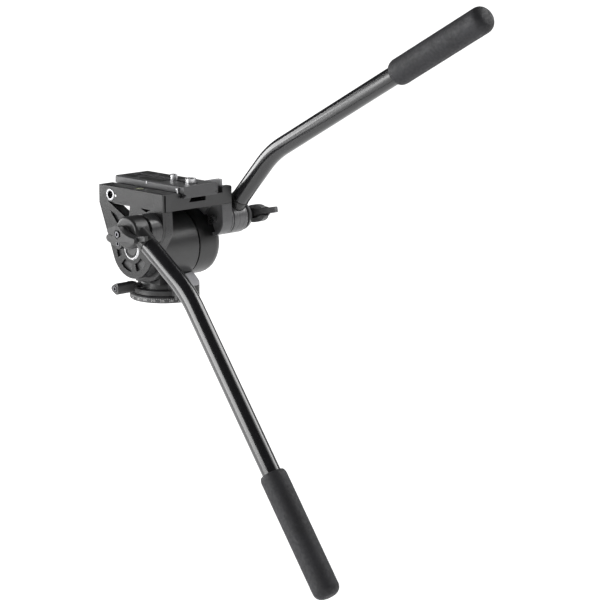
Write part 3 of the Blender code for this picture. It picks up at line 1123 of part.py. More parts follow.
def build_tilt_lock(lever):
    line = Vector((0, TILT_LOCK_Y, TILT_LOCK_Z))
    near = LEFT_PANEL + GAP
    far = near + TILT_LOCK_LENGTH
    body = cylinder("tilt_lock_lever", TILT_LOCK_HUB_RADIUS, line, -X_AXIS, near, far, SMALL_STEPS)
    reach = TILT_LOCK_ARM
    tip = (TILT_LOCK_Y + reach * math.cos(TILT_LOCK_RISE), TILT_LOCK_Z + reach * math.sin(TILT_LOCK_RISE))
    outline = capsule((TILT_LOCK_Y, TILT_LOCK_Z), tip, TILT_LOCK_HUB_RADIUS - GAP, TILT_LOCK_TIP)
    arm = slab("arm", outline, "X", -far + GAP, -far + GAP + TILT_LOCK_ARM_THICKNESS)
    fuse(body, arm)
    cut(body, cylinder("bore", TILT_LOCK_STUD_RADIUS + GAP, line, -X_AXIS, near - OVERRUN,
                       far - TILT_LOCK_SCREW_DEPTH - GAP, SCREW_STEPS))
    cut(body, cylinder("bore", TILT_LOCK_SCREW_RADIUS + GAP, line, -X_AXIS, far - TILT_LOCK_SCREW_DEPTH - GAP,
                       far + OVERRUN, SCREW_STEPS))
    painted(smooth(body))
    screw = hex_screw("tilt_lock_screw", TILT_LOCK_SCREW_RADIUS, line, -X_AXIS, far - TILT_LOCK_SCREW_DEPTH,
                      far + GAP)
    carry(lever, body, screw)
    foot = LEFT_PANEL - TILT_LOCK_STUD_DEPTH
    stud = smooth(cylinder("tilt_lock_stud", TILT_LOCK_STUD_RADIUS, line, -X_AXIS, foot,
                           far - TILT_LOCK_SCREW_DEPTH - 2 * GAP, SCREW_STEPS))
    steel(stud)
    return stud


def handle_frame(x, drop):
    """Start, bend corner and both straight directions of a bar that points rearwards."""
    first = Vector((0, -math.cos(drop), -math.sin(drop)))
    second = Vector((0, -math.cos(drop + BEND_ANGLE), -math.sin(drop + BEND_ANGLE)))
    upward = Vector((0, -math.sin(drop), math.cos(drop)))
    start = Vector((x, ROSETTE_Y, ROSETTE_Z)) + upward * TUBE_OFFSET
    return start, start + first * BEND_DISTANCE, first, second


def bar_path(x, drop):
    start, corner, first, second = handle_frame(x, drop)
    tangent = BEND_RADIUS * math.tan(BEND_ANGLE / 2)
    path = [(start + first * (COLLAR_REACH + GAP), first)]
    inward = first.cross(X_AXIS).normalized()
    if inward.dot(second) < 0:
        inward = -inward
    centre = corner - first * tangent + inward * BEND_RADIUS
    for k in range(BEND_STEPS + 1):
        turn = BEND_ANGLE * k / BEND_STEPS
        point = centre - inward * (BEND_RADIUS * math.cos(turn)) + first * (BEND_RADIUS * math.sin(turn))
        direction = first * math.cos(turn) + inward * math.sin(turn)
        path.append((point, direction))
    path.append((corner + second * (GRIP_END - GRIP_CAP_THICKNESS - GAP), second))
    return path


def bent_tube(name, x, drop):
    """Open-ended tube: outer skin out, inner skin back, both ends closed by a rim."""
    mesh_data = bmesh.new()
    path = bar_path(x, drop)
    outer, inner = [], []
    for point, direction in path:
        up = X_AXIS.cross(direction).normalized()
        for radius, rings in ((TUBE_RADIUS, outer), (TUBE_RADIUS - TUBE_WALL, inner)):
            angles = [math.tau * k / TUBE_SIDES for k in range(TUBE_SIDES)]
            rings.append([mesh_data.verts.new(point + (X_AXIS * math.cos(a) + up * math.sin(a)) * radius)
                          for a in angles])
    loft(mesh_data, outer + list(reversed(inner)), closed=True)
    tube = smooth(object_from(name, mesh_data))
    finish_material(tube, GLOSS_BLACK, 0.18, 0.5)
    return tube


def build_handle(side_name, side, drop, clamp_near, neck_width, handle):
    """Clamp, bent bar, foam grip and end plug; side is -1 for left and 1 for right."""
    direction = X_AXIS * side
    middle = side * (clamp_near + CLAMP_THICKNESS / 2)
    start, corner, first, second = handle_frame(middle, drop)
    far = clamp_near + CLAMP_THICKNESS
    bolt_bore = ROSETTE_BOLT_RADIUS + GAP
    neck = clamp_near + neck_width
    outline = [(bolt_bore, clamp_near), (CLAMP_NECK_RADIUS, clamp_near), (CLAMP_NECK_RADIUS, neck),
               (CLAMP_RADIUS - GAP, neck), (CLAMP_RADIUS, neck + GAP), (CLAMP_RADIUS, far - CLAMP_EDGE)]
    for k in range(1, EDGE_STEPS + 1):
        turn = math.radians(90) * k / EDGE_STEPS
        outline.append((CLAMP_RADIUS - CLAMP_EDGE + CLAMP_EDGE * math.cos(turn),
                        far - CLAMP_EDGE + CLAMP_EDGE * math.sin(turn)))
    outline.append((bolt_bore, far))
    clamp = turned(side_name + "_handle_clamp", outline, ROSETTE_POINT, direction, MEDIUM_STEPS)
    spigot = TUBE_RADIUS - TUBE_WALL - GAP
    collar_outline = [(0, COLLAR_START), (COLLAR_RADIUS, COLLAR_START),
                      (COLLAR_RADIUS, COLLAR_REACH - COLLAR_EDGE), (COLLAR_RADIUS - COLLAR_EDGE, COLLAR_REACH),
                      (spigot, COLLAR_REACH), (spigot, COLLAR_REACH + SPIGOT_LENGTH),
                      (0, COLLAR_REACH + SPIGOT_LENGTH)]
    fuse(clamp, turned("collar", collar_outline, start, first, SMALL_STEPS))
    cut(clamp, cylinder("bolt_bore", bolt_bore, ROSETTE_POINT, direction, clamp_near - OVERRUN, far + OVERRUN,
                        SCREW_STEPS))
    painted(smooth(clamp))
    tube = bent_tube(side_name + "_handle_tube", middle, drop)

    grip_outline = [(TUBE_RADIUS + GAP, GRIP_START), (GRIP_MOUTH_RADIUS, GRIP_START),
                    (GRIP_RADIUS, GRIP_START + GRIP_MOUTH_LENGTH), (GRIP_RADIUS, GRIP_END - GRIP_CAP_ROUND)]
    for k in range(1, GRIP_ROUND_STEPS + 1):
        turn = math.radians(90) * k / GRIP_ROUND_STEPS
        grip_outline.append((GRIP_RADIUS - GRIP_CAP_ROUND + GRIP_CAP_ROUND * math.cos(turn),
                             GRIP_END - GRIP_CAP_ROUND + GRIP_CAP_ROUND * math.sin(turn)))
    inside = GRIP_END - GRIP_CAP_THICKNESS
    grip_outline += [(0, GRIP_END), (0, inside), (TUBE_RADIUS + GAP, inside)]
    grip = smooth(turned(side_name + "_handle_grip", grip_outline, corner, second, SMALL_STEPS))
    finish_material(grip, FOAM_BLACK, 0.95, 0.0)
    carry(handle, clamp, tube, grip)


def build_clamp_lever(side_name, side, near, hub_length, arm_drop, lever):
    """Ratchet lever: flange, waisted hub and an arm with a wide wing and a narrow tip."""
    direction = X_AXIS * side
    flange = near + LEVER_FLANGE_THICKNESS
    far = near + hub_length
    head = far - LEVER_HEAD_THICKNESS
    outline = [(0, near), (LEVER_FLANGE_RADIUS, near), (LEVER_FLANGE_RADIUS, flange),
               (LEVER_WAIST_RADIUS, head - GAP), (LEVER_HEAD_RADIUS, head), (LEVER_HEAD_RADIUS, far - GAP),
               (LEVER_HEAD_RADIUS - GAP, far), (0, far)]
    body = turned(side_name + "_clamp_lever", outline, ROSETTE_POINT, direction, SMALL_STEPS)
    toward = Vector((-math.cos(arm_drop), -math.sin(arm_drop)))
    root = Vector((ROSETTE_Y, ROSETTE_Z))
    wing = root + toward * (LEVER_ARM_LENGTH * LEVER_WING_SHARE)
    tip = root + toward * LEVER_ARM_LENGTH
    wide_outline = capsule(tuple(root), tuple(wing), LEVER_HEAD_RADIUS - GAP, LEVER_WING_HALF_WIDTH)
    wide = slab("wing", wide_outline, "X", side * (head + GAP), side * (far - GAP))
    narrow_outline = capsule(tuple(wing), tuple(tip), LEVER_TIP_HALF_WIDTH, LEVER_TIP_HALF_WIDTH)
    narrow = slab("tip", narrow_outline, "X", side * (head + 2 * GAP), side * (far - 2 * GAP))
    fuse(body, wide, narrow)
    screw_start = far - LEVER_SCREW_DEPTH
    cut(body, cylinder("screw_bore", LEVER_SCREW_RADIUS + GAP, ROSETTE_POINT, direction, screw_start - GAP,
                       far + OVERRUN, SCREW_STEPS))
    painted(smooth(body))
    screw = hex_screw(side_name + "_lever_screw", LEVER_SCREW_RADIUS, ROSETTE_POINT, direction, screw_start,
                      far + LEVER_SCREW_PROUD)
    carry(lever, body, screw)


def build_right_clamp_collar(handle):
    near = RIGHT_CLAMP_NEAR + CLAMP_THICKNESS + GAP
    far = near + RIGHT_COLLAR_THICKNESS
    bore = ROSETTE_BOLT_RADIUS + GAP
    neck = near + RIGHT_COLLAR_NECK_WIDTH
    outline = [(bore, near), (RIGHT_COLLAR_NECK_RADIUS, near), (RIGHT_COLLAR_NECK_RADIUS, neck),
               (RIGHT_COLLAR_RADIUS, neck), (RIGHT_COLLAR_RADIUS, far - RIGHT_COLLAR_CHAMFER),
               (RIGHT_COLLAR_RADIUS - RIGHT_COLLAR_CHAMFER, far), (bore, far)]
    collar = smooth(turned("right_clamp_collar", outline, ROSETTE_POINT, X_AXIS, LARGE_STEPS))
    painted(collar)
    carry(handle, collar)
    return far


def main():
    clear_scene()
    pan = carrier("pan_axis", (0, 0, 0))
    tilt = carrier("tilt_axis", TILT_POINT, pan)
    pan_knob = carrier("pan_lock_axis", (-PAN_KNOB_FAR, PAN_KNOB_Y, PAN_KNOB_Z), pan)
    plate = carrier("plate_slide", (0, 0, CHANNEL_FLOOR), tilt)
    quarter = carrier("quarter_stud_axis", (0, QUARTER_Y, PLATE_TOP), plate)
    three_eighths = carrier("three_eighths_stud_axis", (0, THREE_EIGHTHS_Y, PLATE_TOP), plate)
    jaw = carrier("jaw_slide", (JAW_OUTER, 0, CHANNEL_FLOOR), tilt)
    lock = carrier("plate_lock_axis", (LOCK_HUB_X, LOCK_HUB_Y, LOCK_SEAT), tilt)
    button = carrier("safety_pin_slide", (-PIN_X, PIN_Y, PIN_TOP), tilt)
    tilt_lock = carrier("tilt_lock_axis", (-LEFT_PANEL, TILT_LOCK_Y, TILT_LOCK_Z), tilt)
    left_handle = carrier("left_handle_axis", (-LEFT_CLAMP_NEAR, ROSETTE_Y, ROSETTE_Z), tilt)
    right_handle = carrier("right_handle_axis", (RIGHT_CLAMP_NEAR, ROSETTE_Y, ROSETTE_Z), tilt)
    left_lever = carrier("left_lever_axis", (-LEFT_CLAMP_NEAR, ROSETTE_Y, ROSETTE_Z), left_handle)
    right_lever = carrier("right_lever_axis", (RIGHT_CLAMP_NEAR, ROSETTE_Y, ROSETTE_Z), right_handle)

    build_base()
    build_pan_body(pan)
    build_pan_knob(pan_knob)
    build_tilt_drag(tilt)
    left_cheek, side_plate, right_cheek = build_cheeks(tilt)
    platform = build_platform()
    side_screws = build_side_screws(left_cheek, side_plate)
    fittings = build_platform_fittings(tilt, platform)
    socket = build_socket(platform, side_plate)
    rosettes = build_rosettes()
    left_bolt = build_rosette_bolt("left_rosette_bolt", -X_AXIS, LEFT_CLAMP_NEAR)
    right_bolt = build_rosette_bolt("right_rosette_bolt", X_AXIS, RIGHT_CLAMP_NEAR)
    lock_bolt = build_lock_lever(lock)
    tilt_stud = build_tilt_lock(tilt_lock)
    for body in (left_cheek, side_plate, right_cheek, platform):
        painted(body)
    carry(tilt, left_cheek, side_plate, right_cheek, platform, left_bolt, right_bolt,
          lock_bolt, tilt_stud, *side_screws, *fittings, *socket, *rosettes)
    build_plate(plate)
    build_camera_stud("quarter_camera_screw", quarter, QUARTER_RADIUS, QUARTER_Y, QUARTER_RISE)
    build_camera_stud("three_eighths_camera_screw", three_eighths, THREE_EIGHTHS_RADIUS, THREE_EIGHTHS_Y,
                      THREE_EIGHTHS_RISE)
    build_jaw(jaw)
    build_safety_pin(button)
    build_handle("left", -1, LEFT_HANDLE_DROP, LEFT_CLAMP_NEAR, CLAMP_NECK_WIDTH, left_handle)
    build_handle("right", 1, RIGHT_HANDLE_DROP, RIGHT_CLAMP_NEAR, GAP, right_handle)
    right_lever_near = build_right_clamp_collar(right_handle)
    left_lever_near = LEFT_CLAMP_NEAR + CLAMP_THICKNESS + GAP
    build_clamp_lever("left", -1, left_lever_near, LEFT_HUB_LENGTH, LEFT_LEVER_DROP, left_lever)
    build_clamp_lever("right", 1, right_lever_near + GAP, RIGHT_HUB_LENGTH, RIGHT_LEVER_DROP, right_lever)


main()
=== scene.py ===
"""Looks of a fluid video head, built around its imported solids.

Millimetre sizes are turned into metres by MM. +Y is the lens direction, +X the right side and
+Z up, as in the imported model.
"""

import json
import math

import bpy
from mathutils import Matrix, Vector


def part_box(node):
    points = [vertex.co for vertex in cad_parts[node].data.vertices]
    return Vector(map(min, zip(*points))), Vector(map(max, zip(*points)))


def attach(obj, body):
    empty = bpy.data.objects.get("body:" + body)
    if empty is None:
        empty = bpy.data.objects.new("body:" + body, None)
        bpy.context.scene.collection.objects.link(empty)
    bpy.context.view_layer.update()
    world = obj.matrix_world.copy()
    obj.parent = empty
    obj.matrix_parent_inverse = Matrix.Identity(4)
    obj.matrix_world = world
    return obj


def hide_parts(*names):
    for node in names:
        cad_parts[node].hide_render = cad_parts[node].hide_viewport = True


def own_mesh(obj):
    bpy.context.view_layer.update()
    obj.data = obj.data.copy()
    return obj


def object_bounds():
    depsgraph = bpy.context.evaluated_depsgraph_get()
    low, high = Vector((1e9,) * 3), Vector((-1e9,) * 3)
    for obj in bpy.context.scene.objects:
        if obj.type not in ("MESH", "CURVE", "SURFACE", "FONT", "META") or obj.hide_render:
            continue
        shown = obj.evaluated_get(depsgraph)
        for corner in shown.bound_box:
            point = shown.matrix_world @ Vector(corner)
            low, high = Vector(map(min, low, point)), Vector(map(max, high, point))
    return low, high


MM = 0.001
MERGE = 0.004 * MM
FLAT_ANGLE = math.radians(0.6)
SHARP_ANGLE = math.radians(32)
EDGE_STEPS = 2

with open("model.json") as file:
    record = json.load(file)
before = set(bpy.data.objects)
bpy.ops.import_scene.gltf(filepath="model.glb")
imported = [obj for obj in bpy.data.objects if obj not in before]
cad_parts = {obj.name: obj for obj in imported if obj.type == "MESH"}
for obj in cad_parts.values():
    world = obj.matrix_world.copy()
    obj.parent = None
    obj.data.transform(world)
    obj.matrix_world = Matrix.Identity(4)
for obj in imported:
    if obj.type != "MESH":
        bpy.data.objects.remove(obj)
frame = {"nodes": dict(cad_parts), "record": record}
solids = frame["nodes"]
bodies = frame["record"]["behaviour"]["bodies"]
body_of = {node: body for body, members in bodies.items() for node in members}
cad_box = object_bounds()
scene = bpy.context.scene

ROSETTE_POINT = Vector((0, -31.0, 69.0)) * MM
TILT_POINT = Vector((0, -3.0, 48.0)) * MM
X_AXIS = Vector((1, 0, 0))
Z_AXIS = Vector((0, 0, 1))


# Materials

def new_surface(name, metallic=0.0, specular=0.5, coat=0.0, coat_roughness=0.1):
    """An empty finish with its even values set on the shader itself."""
    surface = bpy.data.materials.new(name)
    surface.use_nodes = True
    tree = surface.node_tree
    shader = tree.nodes["Principled BSDF"]
    shader.inputs["Metallic"].default_value = metallic
    shader.inputs["Specular IOR Level"].default_value = specular
    shader.inputs["Coat Weight"].default_value = coat
    shader.inputs["Coat Roughness"].default_value = coat_roughness
    return surface, tree, shader


def object_place(tree, stretch=(1, 1, 1)):
    """The point on the object, times the stretch along each axis."""
    place = tree.nodes.new("ShaderNodeTexCoord")
    mapping = tree.nodes.new("ShaderNodeMapping")
    mapping.inputs["Scale"].default_value = stretch
    tree.links.new(place.outputs["Object"], mapping.inputs["Vector"])
    return mapping.outputs["Vector"]


def noise(tree, place, scale, detail=2.0, roughness=0.5):
    """Soft noise, with its scale in lumps per metre."""
    made = tree.nodes.new("ShaderNodeTexNoise")
    made.inputs["Scale"].default_value = scale
    made.inputs["Detail"].default_value = detail
    made.inputs["Roughness"].default_value = roughness
    tree.links.new(place, made.inputs["Vector"])
    return made.outputs["Fac"]


def cells(tree, place, scale):
    """Distance to the nearest of many scattered points, for pits."""
    made = tree.nodes.new("ShaderNodeTexVoronoi")
    made.inputs["Scale"].default_value = scale
    tree.links.new(place, made.inputs["Vector"])
    return made.outputs["Distance"]


def tint(tree, factor, stops):
    """Colour ramp of (place, grey or red, green and blue) stops."""
    ramp = tree.nodes.new("ShaderNodeValToRGB")
    elements = ramp.color_ramp.elements
    while len(elements) < len(stops):
        elements.new(0.5)
    for element, (place, value) in zip(elements, stops):
        element.position = place
        if not isinstance(value, tuple):
            value = (value, value, value)
        element.color = (*value, 1.0)
    tree.links.new(factor, ramp.inputs["Fac"])
    return ramp.outputs["Color"]


def shades(grey, dark, light):
    """Two colour stops: the grey times each share of red, green and blue."""
    return [(0.3, tuple(share * grey for share in dark)),
            (0.7, tuple(share * grey for share in light))]


def span(tree, factor, low, high, start=0.3, end=0.7):
    """Values from low to high as the factor goes from start to end."""
    made = tree.nodes.new("ShaderNodeMapRange")
    limits = {"From Min": start, "From Max": end, "To Min": low, "To Max": high}
    for key, value in limits.items():
        made.inputs[key].default_value = value
    tree.links.new(factor, made.inputs["Value"])
    return made.outputs["Result"]


def colour(tree, shader, factor, stops):
    tree.links.new(tint(tree, factor, stops), shader.inputs["Base Color"])


def polish(tree, shader, factor, low, high):
    """Roughness between two values, low where the factor is low."""
    tree.links.new(span(tree, factor, low, high), shader.inputs["Roughness"])


def relief(tree, shader, heights):
    """Chained bumps of (height output, strength, depth in metres)."""
    last = None
    for height, strength, depth in heights:
        bump = tree.nodes.new("ShaderNodeBump")
        bump.inputs["Strength"].default_value = strength
        bump.inputs["Distance"].default_value = depth
        tree.links.new(height, bump.inputs["Height"])
        if last is not None:
            tree.links.new(last.outputs["Normal"], bump.inputs["Normal"])
        last = bump
    tree.links.new(last.outputs["Normal"], shader.inputs["Normal"])


def satin_anodised(name, grey, roughness):
    """Bead-blasted and anodised alloy: a fine even sparkle with faint cloudy wear."""
    surface, tree, shader = new_surface(name, specular=0.6)
    place = object_place(tree)
    clouds = noise(tree, place, scale=60, detail=4.0, roughness=0.6)
    grain = noise(tree, place, scale=2600)
    colour(tree, shader, clouds, shades(grey, (0.84, 0.84, 0.88), (1.12, 1.12, 1.16)))
    polish(tree, shader, grain, roughness - 0.06, roughness + 0.08)
    relief(tree, shader, [(grain, 0.12, 0.04 * MM)])
    return surface


def turned_anodised(name, grey, roughness, stretch):
    """Anodised alloy straight from the lathe, with fine rings along its axis."""
    surface, tree, shader = new_surface(name, specular=0.6)
    rings = noise(tree, object_place(tree, stretch), scale=1.0, detail=3.0, roughness=0.7)
    place = object_place(tree)
    clouds = noise(tree, place, scale=45, detail=3.0)
    grain = noise(tree, place, scale=3000)
    colour(tree, shader, clouds, shades(grey, (0.88, 0.88, 0.90), (1.10, 1.10, 1.13)))
    polish(tree, shader, rings, roughness - 0.07, roughness + 0.07)
    relief(tree, shader, [(rings, 0.25, 0.05 * MM), (grain, 0.06, 0.03 * MM)])
    return surface


def cast_paint(name, grey, roughness):
    """Fine-textured paint over a casting."""
    surface, tree, shader = new_surface(name)
    place = object_place(tree)
    peel = noise(tree, place, scale=900, detail=3.0, roughness=0.6)
    clouds = noise(tree, place, scale=80, detail=4.0)
    grain = noise(tree, place, scale=3600)
    colour(tree, shader, clouds, shades(grey, (0.85, 0.85, 0.88), (1.12, 1.12, 1.15)))
    polish(tree, shader, peel, roughness - 0.08, roughness + 0.08)
    relief(tree, shader, [(peel, 0.22, 0.12 * MM), (grain, 0.1, 0.03 * MM)])
    return surface


def bar_lacquer(name):
    """Smooth gloss lacquer on drawn tube, with a faint ripple and fine dust."""
    surface, tree, shader = new_surface(name, specular=0.85)
    place = object_place(tree)
    ripple = noise(tree, place, scale=140)
    dust = noise(tree, place, scale=2400)
    colour(tree, shader, ripple, [(0.3, (0.007, 0.007, 0.008)), (0.7, (0.011, 0.011, 0.013))])
    polish(tree, shader, dust, 0.15, 0.24)
    relief(tree, shader, [(dust, 0.03, 0.02 * MM)])
    return surface


def grip_foam(name):
    """Closed-cell foam: small pits over soft lumps, with a dusty bloom."""
    surface, tree, shader = new_surface(name)
    place = object_place(tree)
    pits = cells(tree, place, scale=1300)
    lumps = noise(tree, place, scale=420, detail=3.0)
    bloom = noise(tree, place, scale=55, detail=4.0, roughness=0.6)
    colour(tree, shader, bloom, [(0.3, (0.012, 0.012, 0.014)), (0.7, (0.024, 0.024, 0.028))])
    polish(tree, shader, lumps, 0.55, 0.75)
    relief(tree, shader, [(lumps, 0.35, 0.25 * MM), (pits, 0.5, 0.18 * MM)])
    return surface


def moulded_plastic(name, grey, roughness=0.45):
    """Plastic with the fine texture of its mould."""
    surface, tree, shader = new_surface(name)
    place = object_place(tree)
    texture = noise(tree, place, scale=1500, detail=3.0)
    clouds = noise(tree, place, scale=120, detail=3.0)
    colour(tree, shader, clouds, shades(grey, (0.86, 0.86, 0.88), (1.12, 1.12, 1.14)))
    polish(tree, shader, texture, roughness - 0.08, roughness + 0.1)
    relief(tree, shader, [(texture, 0.16, 0.06 * MM)])
    return surface


def pad_rubber(name):
    """Moulded rubber with fine cross ribs."""
    surface, tree, shader = new_surface(name, specular=0.4)
    place = object_place(tree)
    grain = noise(tree, place, scale=1100, detail=3.0)
    ribs = tree.nodes.new("ShaderNodeTexWave")
    ribs.bands_direction = "Y"
    ribs.inputs["Scale"].default_value = 260
    ribs.inputs["Distortion"].default_value = 0.0
    tree.links.new(place, ribs.inputs["Vector"])
    colour(tree, shader, grain, [(0.3, 0.014), (0.7, 0.026)])
    polish(tree, shader, grain, 0.62, 0.82)
    relief(tree, shader, [(ribs.outputs["Fac"], 0.35, 0.15 * MM), (grain, 0.15, 0.05 * MM)])
    return surface


def turned_metal(name, bright, roughness):
    """Bright turned metal with fine rings and a trace of handling marks."""
    surface, tree, shader = new_surface(name, metallic=1.0)
    rings = noise(tree, object_place(tree, (300, 300, 4000)), scale=1.0)
    marks = noise(tree, object_place(tree), scale=220, detail=4.0, roughness=0.6)
    dull = tuple(share * 0.86 for share in bright)
    colour(tree, shader, marks, [(0.3, dull), (0.65, bright)])
    polish(tree, shader, rings, roughness - 0.07, roughness + 0.09)
    relief(tree, shader, [(rings, 0.15, 0.03 * MM)])
    return surface


def slip_plastic(name):
    """Waxy plastic of the washer that the head turns on."""
    surface, tree, shader = new_surface(name)
    grain = noise(tree, object_place(tree), scale=700, detail=3.0)
    colour(tree, shader, grain, [(0.3, (0.50, 0.47, 0.39)), (0.7, (0.60, 0.57, 0.48))])
    polish(tree, shader, grain, 0.4, 0.55)
    relief(tree, shader, [(grain, 0.1, 0.04 * MM)])
    return surface


def level_liquid(name):
    """Yellow-green level liquid under a clear lens."""
    surface, tree, shader = new_surface(name, coat=1.0, coat_roughness=0.03)
    depth = noise(tree, object_place(tree), scale=260)
    colour(tree, shader, depth, [(0.3, (0.30, 0.34, 0.08)), (0.7, (0.44, 0.48, 0.14))])
    polish(tree, shader, depth, 0.08, 0.16)
    return surface


def print_ink(name):
    """White printing ink, a little uneven."""
    surface, tree, shader = new_surface(name)
    grain = noise(tree, object_place(tree), scale=1600, detail=3.0)
    colour(tree, shader, grain, [(0.3, 0.62), (0.7, 0.80)])
    polish(tree, shader, grain, 0.5, 0.65)
    return surface


FINISHES = {
    "anodised": satin_anodised("satin_anodised_black", 0.033, 0.34),
    # Painted highlight: a lighter grey for rounded edges, where light catches them.
    "edge_highlight": satin_anodised("painted_highlight_edges_black", 0.085, 0.28),
    # Painted light: a lighter copy of the anodised black for the camera plate's lit top.
    "plate_top": satin_anodised("plate_painted_light_black", 0.078, 0.34),
    "turned": turned_anodised("turned_anodised_black", 0.036, 0.34, (3000, 60, 60)),
    "turned_z": turned_anodised("ring_anodised_black", 0.048, 0.36, (60, 60, 3000)),
    "cast": cast_paint("textured_cast_black", 0.022, 0.36),
    # Painted light: a lighter grey copy of the cast black, for the right cheek lit from the right.
    "cast_painted_light": cast_paint("right_cheek_painted_light", 0.140, 0.34),
    # Painted shade: a darker copy of the anodised black for the left panel.
    "panel": satin_anodised("panel_painted_shade_black", 0.011, 0.23),
    "turned_dark": turned_anodised("drag_anodised_black", 0.012, 0.34, (3000, 60, 60)),
    # Painted light: a lighter grey copy of the turned black, for the right rosette, clamp and
    # collar lit from the right.
    "turned_painted_light": turned_anodised("right_turned_painted_light", 0.130, 0.28, (1500, 60, 60)),
    "turned_mid": turned_anodised("rosette_turned_black", 0.055, 0.30, (1500, 60, 60)),
    "cast_mid": cast_paint("cheek_cast_black", 0.045, 0.32),
    # Painted light: a lighter grey copy of the moulded black, for the right lever lit from the
    # right.
    "plastic_painted_light": moulded_plastic("right_lever_painted_light", 0.130),
    "thumb": moulded_plastic("thumb_lever_grey", 0.50, 0.25),
    # Painted highlight: light grey for the lit rear slope of the pan housing.
    "slope": satin_anodised("slope_painted_highlight_grey", 0.44, 0.30),
    "lacquer": bar_lacquer("bar_lacquer_black"),
    "foam": grip_foam("grip_foam_black"),
    "plastic": moulded_plastic("moulded_black", 0.040),
    "gloss": moulded_plastic("polished_black", 0.022, 0.22),
    "rubber": pad_rubber("pad_rubber_black"),
    "steel": turned_metal("turned_steel", (0.60, 0.60, 0.61), 0.26),
    "bush_steel": turned_metal("bush_steel", (0.40, 0.40, 0.41), 0.24),
    "dark_steel": turned_metal("blackened_steel", (0.16, 0.16, 0.17), 0.34),
    "bronze": turned_metal("sintered_bronze", (0.62, 0.47, 0.22), 0.38),
    "slip": slip_plastic("low_friction_plastic"),
    "liquid": level_liquid("level_liquid"),
    "ink": print_ink("white_ink"),
}


# Work on pieces

def select_only(piece):
    bpy.ops.object.select_all(action="DESELECT")
    piece.select_set(True)
    bpy.context.view_layer.objects.active = piece


def dress(piece, *finishes):
    """Finish slots of a piece, the first for its faces."""
    piece.data.materials.clear()
    for finish in finishes:
        piece.data.materials.append(FINISHES[finish])


def clean_copy(solid, name):
    """The solid's surface with its loose triangles merged and its flats joined."""
    piece = bpy.data.objects.new(name, solids[solid].data.copy())
    scene.collection.objects.link(piece)
    select_only(piece)
    bpy.ops.object.mode_set(mode="EDIT")
    bpy.ops.mesh.select_all(action="SELECT")
    bpy.ops.mesh.remove_doubles(threshold=MERGE)
    bpy.ops.mesh.dissolve_limited(angle_limit=FLAT_ANGLE)
    bpy.ops.mesh.quads_convert_to_tris(quad_method="BEAUTY", ngon_method="BEAUTY")
    bpy.ops.mesh.normals_make_consistent(inside=False)
    bpy.ops.object.mode_set(mode="OBJECT")
    return piece


def round_edges(piece, width, material=0):
    """Break the sharp edges, the new faces taking the given finish slot."""
    select_only(piece)
    bevel = piece.modifiers.new("edge", "BEVEL")
    bevel.width = width
    bevel.segments = EDGE_STEPS
    bevel.limit_method = "ANGLE"
    bevel.angle_limit = SHARP_ANGLE
    bevel.miter_outer = "MITER_ARC"
    bevel.material = material
    bevel.use_clamp_overlap = True
    bpy.ops.object.modifier_apply(modifier=bevel.name)


def shade(piece):
    """Smooth shading that leaves large flats flat."""
    select_only(piece)
    bpy.ops.object.shade_smooth_by_angle(angle=SHARP_ANGLE)
    even = piece.modifiers.new("even", "WEIGHTED_NORMAL")
    even.mode = "FACE_AREA"
    even.keep_sharp = True
    bpy.ops.object.modifier_apply(modifier=even.name)


def hand_over(piece, solid):
    """The piece stands for the solid and moves with its body."""
    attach(piece, body_of[solid])
    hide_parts(solid)


def finished_casting(solid, name, edge, finish, highlight_finish):
    """The solid with rounded edges, which take a lighter grey as a painted highlight where one is
    given.
    """
    piece = clean_copy(solid, name)
    dress(piece, finish, highlight_finish or finish)
    if edge:
        round_edges(piece, edge, material=1 if highlight_finish else 0)
    shade(piece)
    hand_over(piece, solid)
    return piece


# Solid, name of its piece, edge rounding in mm, finish and the edges' own finish, a lighter grey
# painted as highlight along them.
CASTINGS = [
    ("base_plate", "tripod_base", 0.3, "anodised", None),
    ("tilt_drag_housing", "tilt_drag_shell", 0, "turned_dark", None),
    ("left_cheek", "left_cheek_casting", 0.3, "cast_mid", None),
    # Left panel: painted shade, a darker copy of the anodised black.
    ("left_side_plate", "left_side_panel", 0.35, "panel", "edge_highlight"),
    # Right cheek: painted light, a lighter copy of the cheeks' cast black.
    ("right_cheek", "right_cheek_casting", 0.6, "cast_painted_light", None),
    # Camera plate: painted light, a lighter copy of the anodised black.
    ("quick_release_plate", "camera_plate", 0.3, "plate_top", "edge_highlight"),
    ("clamp_jaw", "clamp_jaw_bar", 0.3, "anodised", "edge_highlight"),
    ("plate_lock_lever", "lock_thumb_lever", 0.7, "thumb", None),
    ("left_rosette", "left_rosette_boss", 0.2, "turned_mid", None),
    # Right rosette: painted light, a lighter copy of the turned black.
    ("right_rosette", "right_rosette_boss", 0.15, "turned_painted_light", None),
    ("level_cup", "level_rim", 0.15, "plastic", None),
    ("accessory_socket", "socket_bush", 0.35, "bush_steel", None),
    ("left_handle_clamp", "left_bar_clamp", 0.3, "cast", None),
    ("tilt_lock_lever", "tilt_lock_thumb_lever", 0.7, "plastic", None),
    ("pan_scale_ring", "scale_ring", 0.2, "turned_z", None),
    ("left_front_plate_pad", "left_front_pad", 0.12, "rubber", None),
    ("left_rear_plate_pad", "left_rear_pad", 0.12, "rubber", None),
    ("right_front_plate_pad", "right_front_pad", 0.12, "rubber", None),
    ("right_rear_plate_pad", "right_rear_pad", 0.12, "rubber", None),
    ("quarter_camera_screw", "small_camera_stud", 0.1, "steel", None),
    ("three_eighths_camera_screw", "large_camera_stud", 0.1, "steel", None),
    ("safety_pin", "safety_pin_button", 0.0, "steel", None),
]

